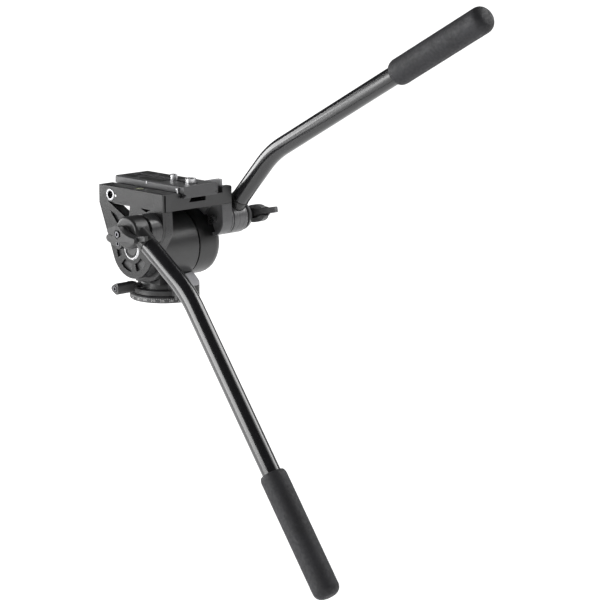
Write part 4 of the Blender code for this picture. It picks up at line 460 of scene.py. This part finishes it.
# Solids seen as they are, and their finishes.
KEPT = {
    "tripod_thread_insert": "steel", "pan_friction_washer": "slip",
    "pan_retaining_nut": "dark_steel", "bearing_carrier": "turned", "damping_stator": "steel",
    "counterbalance_spring": "dark_steel", "pan_lock_stud": "steel",
    "front_drum_screw": "dark_steel", "rear_drum_screw": "dark_steel",
    "left_tilt_bearing": "bronze", "right_tilt_bearing": "bronze", "pan_lock_screw": "dark_steel",
    "tilt_shaft": "turned", "damping_rotor": "steel", "level_vial": "liquid",
    "anti_twist_pin": "steel", "left_rosette_bolt": "steel", "right_rosette_bolt": "steel",
    "lock_lever_bolt": "dark_steel", "tilt_lock_stud": "steel", "front_side_screw": "steel",
    "rear_side_screw": "steel", "tilt_lock_screw": "dark_steel",
    "left_lever_screw": "dark_steel", "right_lever_screw": "dark_steel",
}


for solid, name, edge, finish, highlight_finish in CASTINGS:
    finished_casting(solid, name, edge * MM, finish, highlight_finish)
for solid, finish in KEPT.items():
    dress(solids[solid], finish)


# Lathe work

def start_at(name, point):
    """One loose point, ready to be drawn out in edit mode."""
    bpy.ops.object.select_all(action="DESELECT")
    bpy.ops.mesh.primitive_plane_add(size=MM, location=point)
    piece = bpy.context.object
    piece.name = name
    bpy.ops.object.transform_apply(location=True)
    bpy.ops.object.mode_set(mode="EDIT")
    bpy.ops.mesh.merge(type="CENTER")
    return piece


def close_shell():
    """Merge what the drawing left double and leave edit mode."""
    bpy.ops.mesh.select_all(action="SELECT")
    bpy.ops.mesh.remove_doubles(threshold=MERGE)
    bpy.ops.mesh.dissolve_degenerate(threshold=MERGE)
    bpy.ops.mesh.normals_make_consistent(inside=False)
    bpy.ops.object.mode_set(mode="OBJECT")


def turned(name, outline, origin, direction, finish, sides=64):
    """A section drawn point by point as (radius, distance) and spun about its line."""
    across = direction.orthogonal().normalized()
    points = [origin + across * radius + direction * distance for radius, distance in outline]
    piece = start_at(name, points[0])
    for first, second in zip(points, points[1:]):
        bpy.ops.mesh.extrude_vertices_move(TRANSFORM_OT_translate={"value": second - first})
    bpy.ops.mesh.select_all(action="SELECT")
    bpy.ops.mesh.spin(steps=sides, angle=math.tau, center=origin, axis=direction)
    close_shell()
    dress(piece, finish)
    return piece


# Drawn and filled forms

def soft_line(points, steps=5):
    """A closed curve through the points, each stretch a cubic set by the four points round it."""
    fine = []
    count = len(points)
    for k in range(count):
        a, b, c, d = (Vector(points[(k + shift) % count]) for shift in (-1, 0, 1, 2))
        for step in range(steps):
            t = step / steps
            fine.append(tuple(0.5 * (2 * b + (c - a) * t + (2 * a - 5 * b + 4 * c - d) * t * t
                                     + (3 * b - a - 3 * c + d) * t * t * t)))
    return fine


ACROSS = {
    "X": lambda point, x: Vector((x, point[0], point[1])),
    "Y": lambda point, y: Vector((point[0], y, point[1])),
    "Z": lambda point, z: Vector((point[0], point[1], z)),
}


def drawn_slab(name, outline, axis, low, high, finish):
    """An outline in mm, drawn point by point across an axis, filled and drawn out to a slab."""
    place = ACROSS[axis]
    points = [place(p, low) * MM for p in outline]
    piece = start_at(name, points[0])
    for first, second in zip(points, points[1:] + points[:1]):
        bpy.ops.mesh.extrude_vertices_move(TRANSFORM_OT_translate={"value": second - first})
    bpy.ops.mesh.select_all(action="SELECT")
    bpy.ops.mesh.remove_doubles(threshold=MERGE)
    bpy.ops.mesh.edge_face_add()
    depth = place((0, 0), high - low) * MM
    bpy.ops.mesh.extrude_region_move(TRANSFORM_OT_translate={"value": depth})
    close_shell()
    dress(piece, finish)
    return piece


def carve(piece, cutter):
    """Cut the cutter's form out of the piece and remove the cutter."""
    select_only(piece)
    hollow = piece.modifiers.new("hollow", "BOOLEAN")
    hollow.operation = "DIFFERENCE"
    hollow.object = cutter
    bpy.ops.object.modifier_apply(modifier=hollow.name)
    select_only(cutter)
    bpy.ops.object.delete()


def joined(*parts):
    """Parts of one moulding put together in the first of them."""
    bpy.ops.object.select_all(action="DESELECT")
    for part in parts:
        part.select_set(True)
    bpy.context.view_layer.objects.active = parts[0]
    bpy.ops.object.join()
    return parts[0]


def finish_off(piece, solid=None, rides_with=None):
    """Shade a piece that stands for a solid, or trim that rides with one."""
    shade(piece)
    if solid:
        hand_over(piece, solid)
    else:
        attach(piece, body_of[rides_with])


def along(outline):
    """A section given in mm."""
    return [(radius * MM, distance * MM) for radius, distance in outline]


def tilt_drum():
    """Turned drum with a groove where it meets the drag housing."""
    profile = [
        (7.2, -27.7), (29.9, -27.7), (30.5, -27.1), (30.5, 11.1), (27.8, 11.1), (27.8, 13.2),
        (26.5, 13.2), (26.5, -23.7), (7.2, -23.7), (7.2, -27.7),
    ]
    drum = turned("tilt_drum_shell", along(profile), TILT_POINT, X_AXIS, "turned", sides=128)
    finish_off(drum, "tilt_drum")


def platform():
    """The platform's casting, with the black slot behind the left panel's rear edge."""
    piece = clean_copy("tilt_platform", "platform_channel")
    outline = [(-37.3, -44.4), (-35.6, -44.4), (-35.6, -41.0), (-37.3, -41.0)]
    carve(piece, drawn_slab("slot", outline, "Z", 83.0, 98.4, "anodised"))
    # The rounded edges take the lighter grey of a painted highlight.
    dress(piece, "anodised", "edge_highlight")
    round_edges(piece, 0.35 * MM, material=1)
    shade(piece)
    hand_over(piece, "tilt_platform")


def screw_well(side, face):
    """Cutter for the stepped well round a lever's screw."""
    foot, step, mouth = face - 5.4, face - 0.9, face + 1
    well = [(0, foot), (2.9, foot), (2.9, step), (4.0, step), (4.0, mouth), (0, mouth), (0, foot)]
    return turned("well", along(well), ROSETTE_POINT, X_AXIS * side, "plastic", sides=40)


def left_clamp_lever():
    """Ratchet lever: a scalloped head plate over a bar, with a stub in front, a finger behind."""
    head = [
        (-24.6, 74.6), (-27.2, 75.6), (-32.4, 76.2), (-34.8, 73.9), (-38.0, 71.5), (-42.5, 69.5),
        (-47.7, 68.3), (-52.0, 68.0), (-53.2, 66.6), (-52.5, 64.0), (-50.2, 63.0), (-43.7, 63.7),
        (-37.2, 63.0), (-31.0, 62.3), (-26.8, 63.2), (-24.4, 67.3), (-24.2, 71.5),
    ]
    bar = [
        (-12.6, 68.4), (-12.3, 70.4), (-13.7, 71.9), (-17.0, 72.7), (-24.0, 74.6), (-31.0, 75.2),
        (-38.0, 71.6), (-47.0, 68.6), (-59.4, 70.4), (-61.3, 69.4), (-61.6, 67.4), (-60.2, 66.1),
        (-47.0, 63.8), (-40.0, 63.0), (-31.0, 62.4), (-24.5, 63.6), (-19.0, 66.2), (-14.4, 66.6),
    ]
    plate = drawn_slab("left_ratchet_lever", soft_line(head), "X", -78.7, -74.2, "plastic")
    carve(plate, screw_well(-1, 78.7))
    round_edges(plate, 0.5 * MM)
    core = drawn_slab("core", soft_line(bar), "X", -74.3, -70.6, "plastic")
    carve(core, screw_well(-1, 78.7))
    round_edges(core, 0.7 * MM)
    rim = [(3.4, 69.4), (6.6, 69.4), (6.6, 70.4), (6.2, 70.8), (3.4, 70.8), (3.4, 69.4)]
    collar = turned("collar", along(rim), ROSETTE_POINT, -X_AXIS, "plastic")
    finish_off(joined(plate, core, collar), "left_clamp_lever")


def right_clamp_lever():
    """The same lever on the right: two wings round a waisted hub, and a narrow finger; their
    lighter grey is painted light.
    """
    top_wing = [
        (-28.0, 73.8), (-31.0, 76.4), (-36.0, 78.0), (-42.0, 78.6), (-46.0, 78.0), (-48.2, 76.6),
        (-45.0, 75.4), (-40.0, 74.8), (-35.0, 74.6), (-31.0, 73.0),
    ]
    low_wing = [
        (-27.5, 66.0), (-31.0, 62.6), (-37.0, 62.5), (-43.0, 63.6), (-48.0, 65.4), (-51.0, 68.4),
        (-50.0, 70.4), (-46.0, 69.6), (-40.5, 67.0), (-35.0, 66.0), (-31.0, 66.6),
    ]
    finger = [
        (-31.0, 72.6), (-46.0, 75.6), (-61.2, 78.9), (-63.0, 77.8), (-63.4, 75.4), (-62.2, 73.8),
        (-48.0, 71.0), (-31.0, 66.0),
    ]
    cover = [
        (-24.4, 70.5), (-26.8, 75.2), (-31.5, 76.9), (-38.0, 77.9), (-45.0, 77.4), (-53.0, 76.4),
        (-53.6, 73.0), (-50.2, 69.0), (-45.0, 65.0), (-38.0, 63.0), (-31.0, 62.4), (-26.4, 64.2),
    ]
    slabs = [(top_wing, 70.6, 76.2), (low_wing, 70.6, 76.2), (finger, 72.6, 76.2),
             (cover, 76.1, 77.3)]
    parts = []
    for outline, low, high in slabs:
        # Wings, finger and cover take the lighter grey of painted light; the hub stays black.
        part = drawn_slab("right_ratchet_lever", soft_line(outline), "X", low, high,
                          "plastic_painted_light")
        carve(part, screw_well(1, 77.3))
        round_edges(part, 0.5 * MM)
        parts.append(part)
    hub = [
        (3.4, 65.5), (8.4, 65.5), (8.4, 66.6), (5.6, 69.2), (5.4, 76.4), (3.2, 76.4), (3.2, 66.0),
        (3.4, 65.5),
    ]
    parts.append(turned("hub", along(hub), ROSETTE_POINT, X_AXIS, "plastic"))
    parts[0].name = "right_ratchet_lever"
    finish_off(joined(*parts), "right_clamp_lever")


def pan_lock_grip():
    """Three-lobed grip with a thin wing towards the head."""
    grip = clean_copy("pan_lock_knob", "pan_lock_grip")
    dress(grip, "plastic")
    outline = [(-35.5, 14.6), (-28.9, 15.6), (-28.7, 17.0), (-30.5, 17.6), (-35.5, 17.8)]
    wing = drawn_slab("wing", outline, "Y", 3.6, 8.4, "plastic")
    round_edges(grip, 0.6 * MM)
    round_edges(wing, 0.4 * MM)
    finish_off(joined(grip, wing), "pan_lock_knob")


# Rear slope of the pan housing, whose faces take the painted highlight grey.
SLOPE_NORMAL = Vector((0, -0.611, 0.791))
SLOPE_MATCH = 0.985
SLOPE_FRONT = -24 * MM


def pan_housing():
    """The housing's casting, with its rear slope painted light grey as a painted highlight."""
    piece = clean_copy("pan_housing", "pan_housing_casting")
    dress(piece, "cast", "slope")
    round_edges(piece, 0.35 * MM)
    for face in piece.data.polygons:
        if face.normal.dot(SLOPE_NORMAL) > SLOPE_MATCH and face.center.y < SLOPE_FRONT:
            face.material_index = 1
    shade(piece)
    hand_over(piece, "pan_housing")


# Faces nearer the axis than this are the clamp's body, painted light grey as painted light; the
# rest is the socket.
CLAMP_BODY_REACH = 14.5 * MM


def right_clamp():
    """The right bar's clamp: a turned body with a glossy socket for the tube; the body's lighter
    grey is painted light.
    """
    piece = clean_copy("right_handle_clamp", "right_bar_clamp")
    dress(piece, "turned_painted_light", "gloss")
    round_edges(piece, 0.3 * MM)
    for face in piece.data.polygons:
        reach = face.center - ROSETTE_POINT
        if math.hypot(reach.y, reach.z) > CLAMP_BODY_REACH:
            face.material_index = 1
    shade(piece)
    hand_over(piece, "right_handle_clamp")


def right_collar():
    """Tapered collar on a short neck between the right clamp and its lever; its lighter grey is
    painted light.
    """
    low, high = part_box("right_clamp_collar")
    left, right = low.x / MM, high.x / MM
    outline = [
        (4.2, left), (10.4, left), (10.4, left + 1.5), (12.3, left + 1.6), (12.7, left + 2.0),
        (11.4, right - 0.4), (11.0, right), (4.2, right), (4.2, left),
    ]
    collar = turned("right_bar_collar", along(outline), ROSETTE_POINT, X_AXIS, "turned_painted_light",
                    sides=96)
    finish_off(collar, "right_clamp_collar")


def pin_spring():
    """Spring under the safety pin, given a mesh of its own; the real spring shortens as the pin is
    pressed.
    """
    piece = clean_copy("safety_pin_spring", "safety_spring_coil")
    dress(piece, "steel")
    finish_off(piece, "safety_pin_spring")
    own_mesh(piece)


tilt_drum()
platform()
pin_spring()
pan_housing()
right_clamp()
right_collar()
left_clamp_lever()
right_clamp_lever()
pan_lock_grip()


# Marks

RING_RADIUS = 30.5 * MM
NUMERAL_SIZE = 2.6 * MM
NUMERAL_Z = 2.3 * MM
INK_RISE = 0.05 * MM
NUMERAL_STEP = 15
TICK_HALF_WIDTH = 0.13
TICK_FOOT = 30.42
TICK_FACE = 30.56


def ring_numerals():
    """Degrees every 15 round the base ring, printed in white."""
    digits = []
    for degrees in range(0, 360, NUMERAL_STEP):
        turn = math.radians(degrees)
        outward = Vector((math.cos(turn), math.sin(turn), 0))
        bpy.ops.object.select_all(action="DESELECT")
        bpy.ops.object.text_add()
        number = bpy.context.object
        number.data.body = str(degrees)
        number.data.align_x = "CENTER"
        number.data.align_y = "CENTER"
        number.data.size = NUMERAL_SIZE
        number.data.extrude = INK_RISE
        bpy.ops.object.convert(target="MESH")
        number.location = outward * RING_RADIUS + Z_AXIS * NUMERAL_Z
        number.rotation_euler = (math.radians(90), 0, turn + math.radians(90))
        bpy.ops.object.transform_apply(location=True, rotation=True, scale=True)
        dress(number, "ink")
        digits.append(number)
    numbers = joined(*digits)
    numbers.name = "scale_numerals"
    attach(numbers, body_of["pan_scale_ring"])


def ring_ticks():
    """Fine marks every 3 degrees on the ring's upper half, longer ones every 15."""
    for name, low, high, count in (("fine_scale_marks", 3.55, 4.3, 120),
                                   ("long_scale_marks", 3.35, 4.55, 24)):
        outline = [
            (-TICK_HALF_WIDTH, low), (TICK_HALF_WIDTH, low), (TICK_HALF_WIDTH, high),
            (-TICK_HALF_WIDTH, high),
        ]
        mark = drawn_slab(name, outline, "X", TICK_FOOT, TICK_FACE, "ink")
        select_only(mark)
        bpy.ops.object.mode_set(mode="EDIT")
        bpy.ops.mesh.select_all(action="SELECT")
        bpy.ops.mesh.spin(steps=count - 1, dupli=True, angle=math.tau * (count - 1) / count,
                          center=(0, 0, 0), axis=Z_AXIS)
        bpy.ops.object.mode_set(mode="OBJECT")
        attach(mark, body_of["pan_scale_ring"])


def plate_index():
    """White index mark on the plate's left side."""
    outline = [(0.0, 102.2), (1.4, 102.2), (1.4, 104.6), (0.0, 104.6)]
    mark = drawn_slab("plate_index_mark", outline, "X", -19.08, -18.95, "ink")
    finish_off(mark, rides_with="quick_release_plate")


def axis_ring_edge():
    """Bright turned edge round the tilt axis on the left panel."""
    section = [(7.9, 39.3), (9.8, 39.5), (8.8, 40.3), (7.9, 40.3), (7.9, 39.3)]
    edge = turned("axis_ring_edge", along(section), TILT_POINT, -X_AXIS, "steel", sides=96)
    finish_off(edge, rides_with="left_side_plate")


ring_numerals()
ring_ticks()
plate_index()
axis_ring_edge()


# Bars and grips

TUBE_RADIUS = 8.0 * MM
TUBE_WALL = 1.5 * MM
TUBE_SIDES = 56
TUBE_OFFSET = 3.8 * MM
COLLAR_REACH = 22.3 * MM
BEND_DISTANCE = 81.5 * MM
BEND_RADIUS = 95.0 * MM
BEND_ANGLE = math.radians(18.6)
BEND_STEPS = 14
BAR_END = 275.7 * MM
GRIP_START = 170.0 * MM
GRIP_END = 282.0 * MM
GRIP_RADIUS = 11.6 * MM
GRIP_MOUTH_RADIUS = 10.6 * MM
GRIP_ROUND = 7.5 * MM
GRIP_PLUG = 276.0 * MM
GRIP_GAP = 0.3 * MM
GRIP_SKIN = 0.05 * MM
GRIP_TAPER = 4.0 * MM
GRIP_BODY_STEPS = 39
GRIP_ROUND_STEPS = 8
MOUTH_CHAMFER = 0.5 * MM
SHOULDER_DROP = 0.3 * MM
SHOULDER_REACH = 2.4 * MM
LUMP_SIZE = 2.2 * MM
LUMP_HEIGHT = 0.22 * MM
LUMP_LEVEL = 0.9


def bar_line(middle, drop):
    """Start, bend corner and the two straight directions of a bar."""
    first = Vector((0, -math.cos(drop), -math.sin(drop)))
    second = Vector((0, -math.cos(drop + BEND_ANGLE), -math.sin(drop + BEND_ANGLE)))
    upward = Vector((0, -math.sin(drop), math.cos(drop)))
    start = Vector((middle, 0, 0)) + ROSETTE_POINT + upward * TUBE_OFFSET
    return start, start + first * BEND_DISTANCE, first, second


def drawn_bar(solid, name, middle, drop):
    """Tube of even wall: straight, one swept bend, straight again."""
    start, corner, first, second = bar_line(middle, drop)
    tangent = BEND_RADIUS * math.tan(BEND_ANGLE / 2)
    inward = X_AXIS.cross(first).normalized()
    if inward.dot(second) < 0:
        inward = -inward
    near = start + first * COLLAR_REACH
    bend_start = corner - first * tangent
    bpy.ops.object.select_all(action="DESELECT")
    turn = first.to_track_quat("Z", "Y").to_euler()
    bpy.ops.mesh.primitive_circle_add(vertices=TUBE_SIDES, radius=TUBE_RADIUS, location=near,
                                      rotation=turn)
    bar = bpy.context.object
    bar.name = name
    bpy.ops.object.transform_apply(location=True, rotation=True)
    bpy.ops.object.mode_set(mode="EDIT")
    bpy.ops.mesh.select_all(action="SELECT")
    bpy.ops.mesh.extrude_region_move(TRANSFORM_OT_translate={"value": bend_start - near})
    sense = 1 if first.cross(second).dot(X_AXIS) > 0 else -1
    bpy.ops.mesh.spin(steps=BEND_STEPS, angle=-BEND_ANGLE,
                      center=bend_start + inward * BEND_RADIUS, axis=X_AXIS * sense)
    rest = corner + second * BAR_END - (corner + second * tangent)
    bpy.ops.mesh.extrude_region_move(TRANSFORM_OT_translate={"value": rest})
    close_shell()
    wall = bar.modifiers.new("wall", "SOLIDIFY")
    wall.thickness = TUBE_WALL
    wall.offset = -1
    wall.use_even_offset = True
    bpy.ops.object.modifier_apply(modifier=wall.name)
    dress(bar, "lacquer")
    shade(bar)
    hand_over(bar, solid)


def foam_grip(solid, name, middle, drop):
    """Foam sleeve with a tapered mouth, a domed end and a slightly uneven skin."""
    _, corner, _, second = bar_line(middle, drop)
    bore = TUBE_RADIUS + GRIP_GAP
    skin = GRIP_RADIUS - GRIP_SKIN
    body_start, body_end = GRIP_START + GRIP_TAPER, GRIP_END - GRIP_ROUND
    outline = [
        (bore, GRIP_START), (GRIP_MOUTH_RADIUS - MOUTH_CHAMFER, GRIP_START),
        (GRIP_MOUTH_RADIUS, GRIP_START + MOUTH_CHAMFER),
        (GRIP_RADIUS - SHOULDER_DROP, GRIP_START + SHOULDER_REACH), (skin, body_start),
    ]
    for k in range(1, GRIP_BODY_STEPS + 1):
        outline.append((skin, body_start + (body_end - body_start) * k / GRIP_BODY_STEPS))
    for k in range(1, GRIP_ROUND_STEPS + 1):
        turn = math.radians(90) * k / GRIP_ROUND_STEPS
        outline.append((GRIP_RADIUS - GRIP_ROUND + (GRIP_ROUND - GRIP_SKIN) * math.cos(turn),
                        body_end + GRIP_ROUND * math.sin(turn)))
    outline += [(0, GRIP_END), (0, GRIP_PLUG), (bore, GRIP_PLUG), (bore, GRIP_START)]
    grip = turned(name, outline, corner, second, "foam", sides=96)
    lumps = bpy.data.textures.new(name + "_lumps", "CLOUDS")
    lumps.noise_scale = LUMP_SIZE
    lumps.noise_depth = 2
    swell = grip.modifiers.new("swell", "DISPLACE")
    swell.texture = lumps
    swell.mid_level = LUMP_LEVEL
    swell.strength = LUMP_HEIGHT
    select_only(grip)
    bpy.ops.object.modifier_apply(modifier=swell.name)
    bpy.ops.object.shade_smooth_by_angle(angle=SHARP_ANGLE)
    hand_over(grip, solid)


LEFT_BAR = (-60.6 * MM, math.radians(34.3))
RIGHT_BAR = (50.8 * MM, math.radians(-47.0))
drawn_bar("left_handle_tube", "left_bar", *LEFT_BAR)
drawn_bar("right_handle_tube", "right_bar", *RIGHT_BAR)
foam_grip("left_handle_grip", "left_foam_grip", *LEFT_BAR)
foam_grip("right_handle_grip", "right_foam_grip", *RIGHT_BAR)


# Floor, light and camera

FLOOR_DROP = 163.0 * MM
FLOOR_SIZE = 16.0
FLOOR_WHITE = 0.86
FLOOR_ROUGHNESS = 0.9
FLOOR_SHINE = 0.1
NEAR_GLOW, FAR_GLOW = 0.30, 1.0
GLOW_START, GLOW_END = 0.3, 1.8
WALL_WHITE, CEILING_GREY = 1.0, 0.06
WALL_TOP, CEILING_START = -0.04, 0.22
FILL_LEVEL = 0.30
AIM_POINT = Vector((0, -20 * MM, 60 * MM))
CAMERA_PLACE = Vector((-1572.08, -1833.74, 481.96)) * MM
CAMERA_TURN = math.radians(-43.411)
CAMERA_TILT = math.radians(11.359)
CAMERA_LENS = 168.9
SENSOR_WIDTH = 36
VIEW_END = 50

def seen_rays(tree, kinds):
    """One where a ray is of one of the kinds, else zero."""
    path = tree.nodes.new("ShaderNodeLightPath")
    most = path.outputs[kinds[0]]
    for kind in kinds[1:]:
        either = tree.nodes.new("ShaderNodeMath")
        either.operation = "MAXIMUM"
        tree.links.new(most, either.inputs[0])
        tree.links.new(path.outputs[kind], either.inputs[1])
        most = either.outputs[0]
    return most


def make_stage():
    """White floor below the swung bars' reach, glowing more the further it lies from the head."""
    low = cad_box[0].z - FLOOR_DROP
    bpy.ops.object.select_all(action="DESELECT")
    bpy.ops.mesh.primitive_plane_add(size=FLOOR_SIZE, location=(0, 0, low))
    floor = bpy.context.object
    floor.name = "studio_floor"
    bpy.ops.object.transform_apply(location=True)
    surface = bpy.data.materials.new("studio_white")
    surface.use_nodes = True
    tree = surface.node_tree
    shader = tree.nodes["Principled BSDF"]
    shader.inputs["Base Color"].default_value = (FLOOR_WHITE, FLOOR_WHITE, FLOOR_WHITE, 1)
    shader.inputs["Roughness"].default_value = FLOOR_ROUGHNESS
    shader.inputs["Specular IOR Level"].default_value = FLOOR_SHINE
    reach = tree.nodes.new("ShaderNodeVectorMath")
    reach.operation = "LENGTH"
    tree.links.new(object_place(tree), reach.inputs[0])
    level = span(tree, reach.outputs["Value"], NEAR_GLOW, FAR_GLOW, GLOW_START, GLOW_END)
    glow = tree.nodes.new("ShaderNodeEmission")
    add = tree.nodes.new("ShaderNodeAddShader")
    seen = tree.nodes.new("ShaderNodeMath")
    seen.operation = "MULTIPLY"
    tree.links.new(level, seen.inputs[1])
    rays = seen_rays(tree, ("Is Camera Ray", "Is Glossy Ray", "Is Transmission Ray"))
    tree.links.new(rays, seen.inputs[0])
    tree.links.new(seen.outputs[0], glow.inputs["Strength"])
    tree.links.new(shader.outputs[0], add.inputs[0])
    tree.links.new(glow.outputs[0], add.inputs[1])
    tree.links.new(add.outputs[0], tree.nodes["Material Output"].inputs["Surface"])
    floor.data.materials.append(surface)


def make_world():
    """White all round for what is seen and mirrored, darker towards the ceiling."""
    world = bpy.data.worlds.new("studio")
    world.use_nodes = True
    tree = world.node_tree
    background = tree.nodes["Background"]
    place = tree.nodes.new("ShaderNodeTexCoord")
    height = tree.nodes.new("ShaderNodeSeparateXYZ")
    tree.links.new(place.outputs["Generated"], height.inputs["Vector"])
    wall = span(tree, height.outputs["Z"], WALL_WHITE, CEILING_GREY, WALL_TOP, CEILING_START)
    shown = seen_rays(tree, ("Is Camera Ray", "Is Transmission Ray"))
    mirrored = seen_rays(tree, ("Is Glossy Ray",))
    level = tree.nodes.new("ShaderNodeMix")
    level.inputs["A"].default_value = FILL_LEVEL
    tree.links.new(mirrored, level.inputs["Factor"])
    tree.links.new(wall, level.inputs["B"])
    final = tree.nodes.new("ShaderNodeMix")
    final.inputs["B"].default_value = 1.0
    tree.links.new(shown, final.inputs["Factor"])
    tree.links.new(level.outputs["Result"], final.inputs["A"])
    tree.links.new(final.outputs["Result"], background.inputs["Strength"])
    background.inputs["Color"].default_value = (1, 1, 1, 1)
    scene.world = world


def facing_place(direction, distance, slant=0.0):
    """Place of a studio thing that faces the head, turned by the slant in degrees."""
    away = Vector(direction).normalized()
    level = Z_AXIS.cross(away).normalized()
    turn = Matrix.Rotation(math.radians(slant), 4, "Z")
    facing = Matrix((level, away.cross(level), away)).transposed().to_4x4()
    return Matrix.Translation(AIM_POINT + away * distance) @ facing @ turn


def dark_card(name, direction, distance, size):
    """A black card that only mirrors see."""
    bpy.ops.object.select_all(action="DESELECT")
    bpy.ops.mesh.primitive_plane_add(size=1)
    card = bpy.context.object
    card.name = name
    card.scale = (*size, 1)
    bpy.ops.object.transform_apply(scale=True)
    card.matrix_world = facing_place(direction, distance)
    bpy.ops.object.transform_apply(location=True, rotation=True, scale=True)
    dress(card, "rubber")
    for ray in ("camera", "diffuse", "transmission", "shadow"):
        setattr(card, "visible_" + ray, False)


def softbox(name, direction, distance, size, power, slant=0.0):
    """A rectangular soft light that faces the head."""
    lamp = bpy.data.lights.new(name, "AREA")
    lamp.shape = "RECTANGLE"
    lamp.size, lamp.size_y = size
    lamp.energy = power
    item = bpy.data.objects.new(name, lamp)
    item.matrix_world = facing_place(direction, distance, slant)
    item.visible_camera = False
    scene.collection.objects.link(item)


def make_camera():
    """The camera of the photograph, from the head's left and rear."""
    right = Vector((math.cos(CAMERA_TURN), math.sin(CAMERA_TURN), 0))
    back = Vector((math.sin(CAMERA_TURN) * math.cos(CAMERA_TILT),
                   -math.cos(CAMERA_TURN) * math.cos(CAMERA_TILT), math.sin(CAMERA_TILT)))
    facing = Matrix((right, back.cross(right), back)).transposed().to_4x4()
    data = bpy.data.cameras.new("photograph")
    data.sensor_width = SENSOR_WIDTH
    data.lens = CAMERA_LENS
    data.clip_end = VIEW_END
    camera = bpy.data.objects.new("photograph", data)
    camera.matrix_world = Matrix.Translation(CAMERA_PLACE) @ facing
    scene.collection.objects.link(camera)
    scene.camera = camera


make_stage()
make_world()
softbox("side_softbox", (-0.94, 0.33, 0.09), distance=1.5, size=(1.30, 0.66), power=16.5, slant=34)
softbox("front_softbox", (-0.38, 0.92, 0.10), distance=1.5, size=(1.00, 0.50), power=11, slant=-28)
softbox("right_softbox", (0.74, -0.30, 0.60), distance=1.5, size=(0.9, 0.9), power=12)
softbox("rear_softbox", (0.62, -0.55, 0.56), distance=1.6, size=(0.9, 0.9), power=4)
dark_card("behind_card", (0.30, 0.95, 0.09), distance=1.15, size=(1.00, 1.10))
dark_card("left_edge_card", (-0.24, 0.94, -0.28), distance=1.25, size=(0.95, 0.50))
make_camera()
scene.view_settings.view_transform = "Standard"
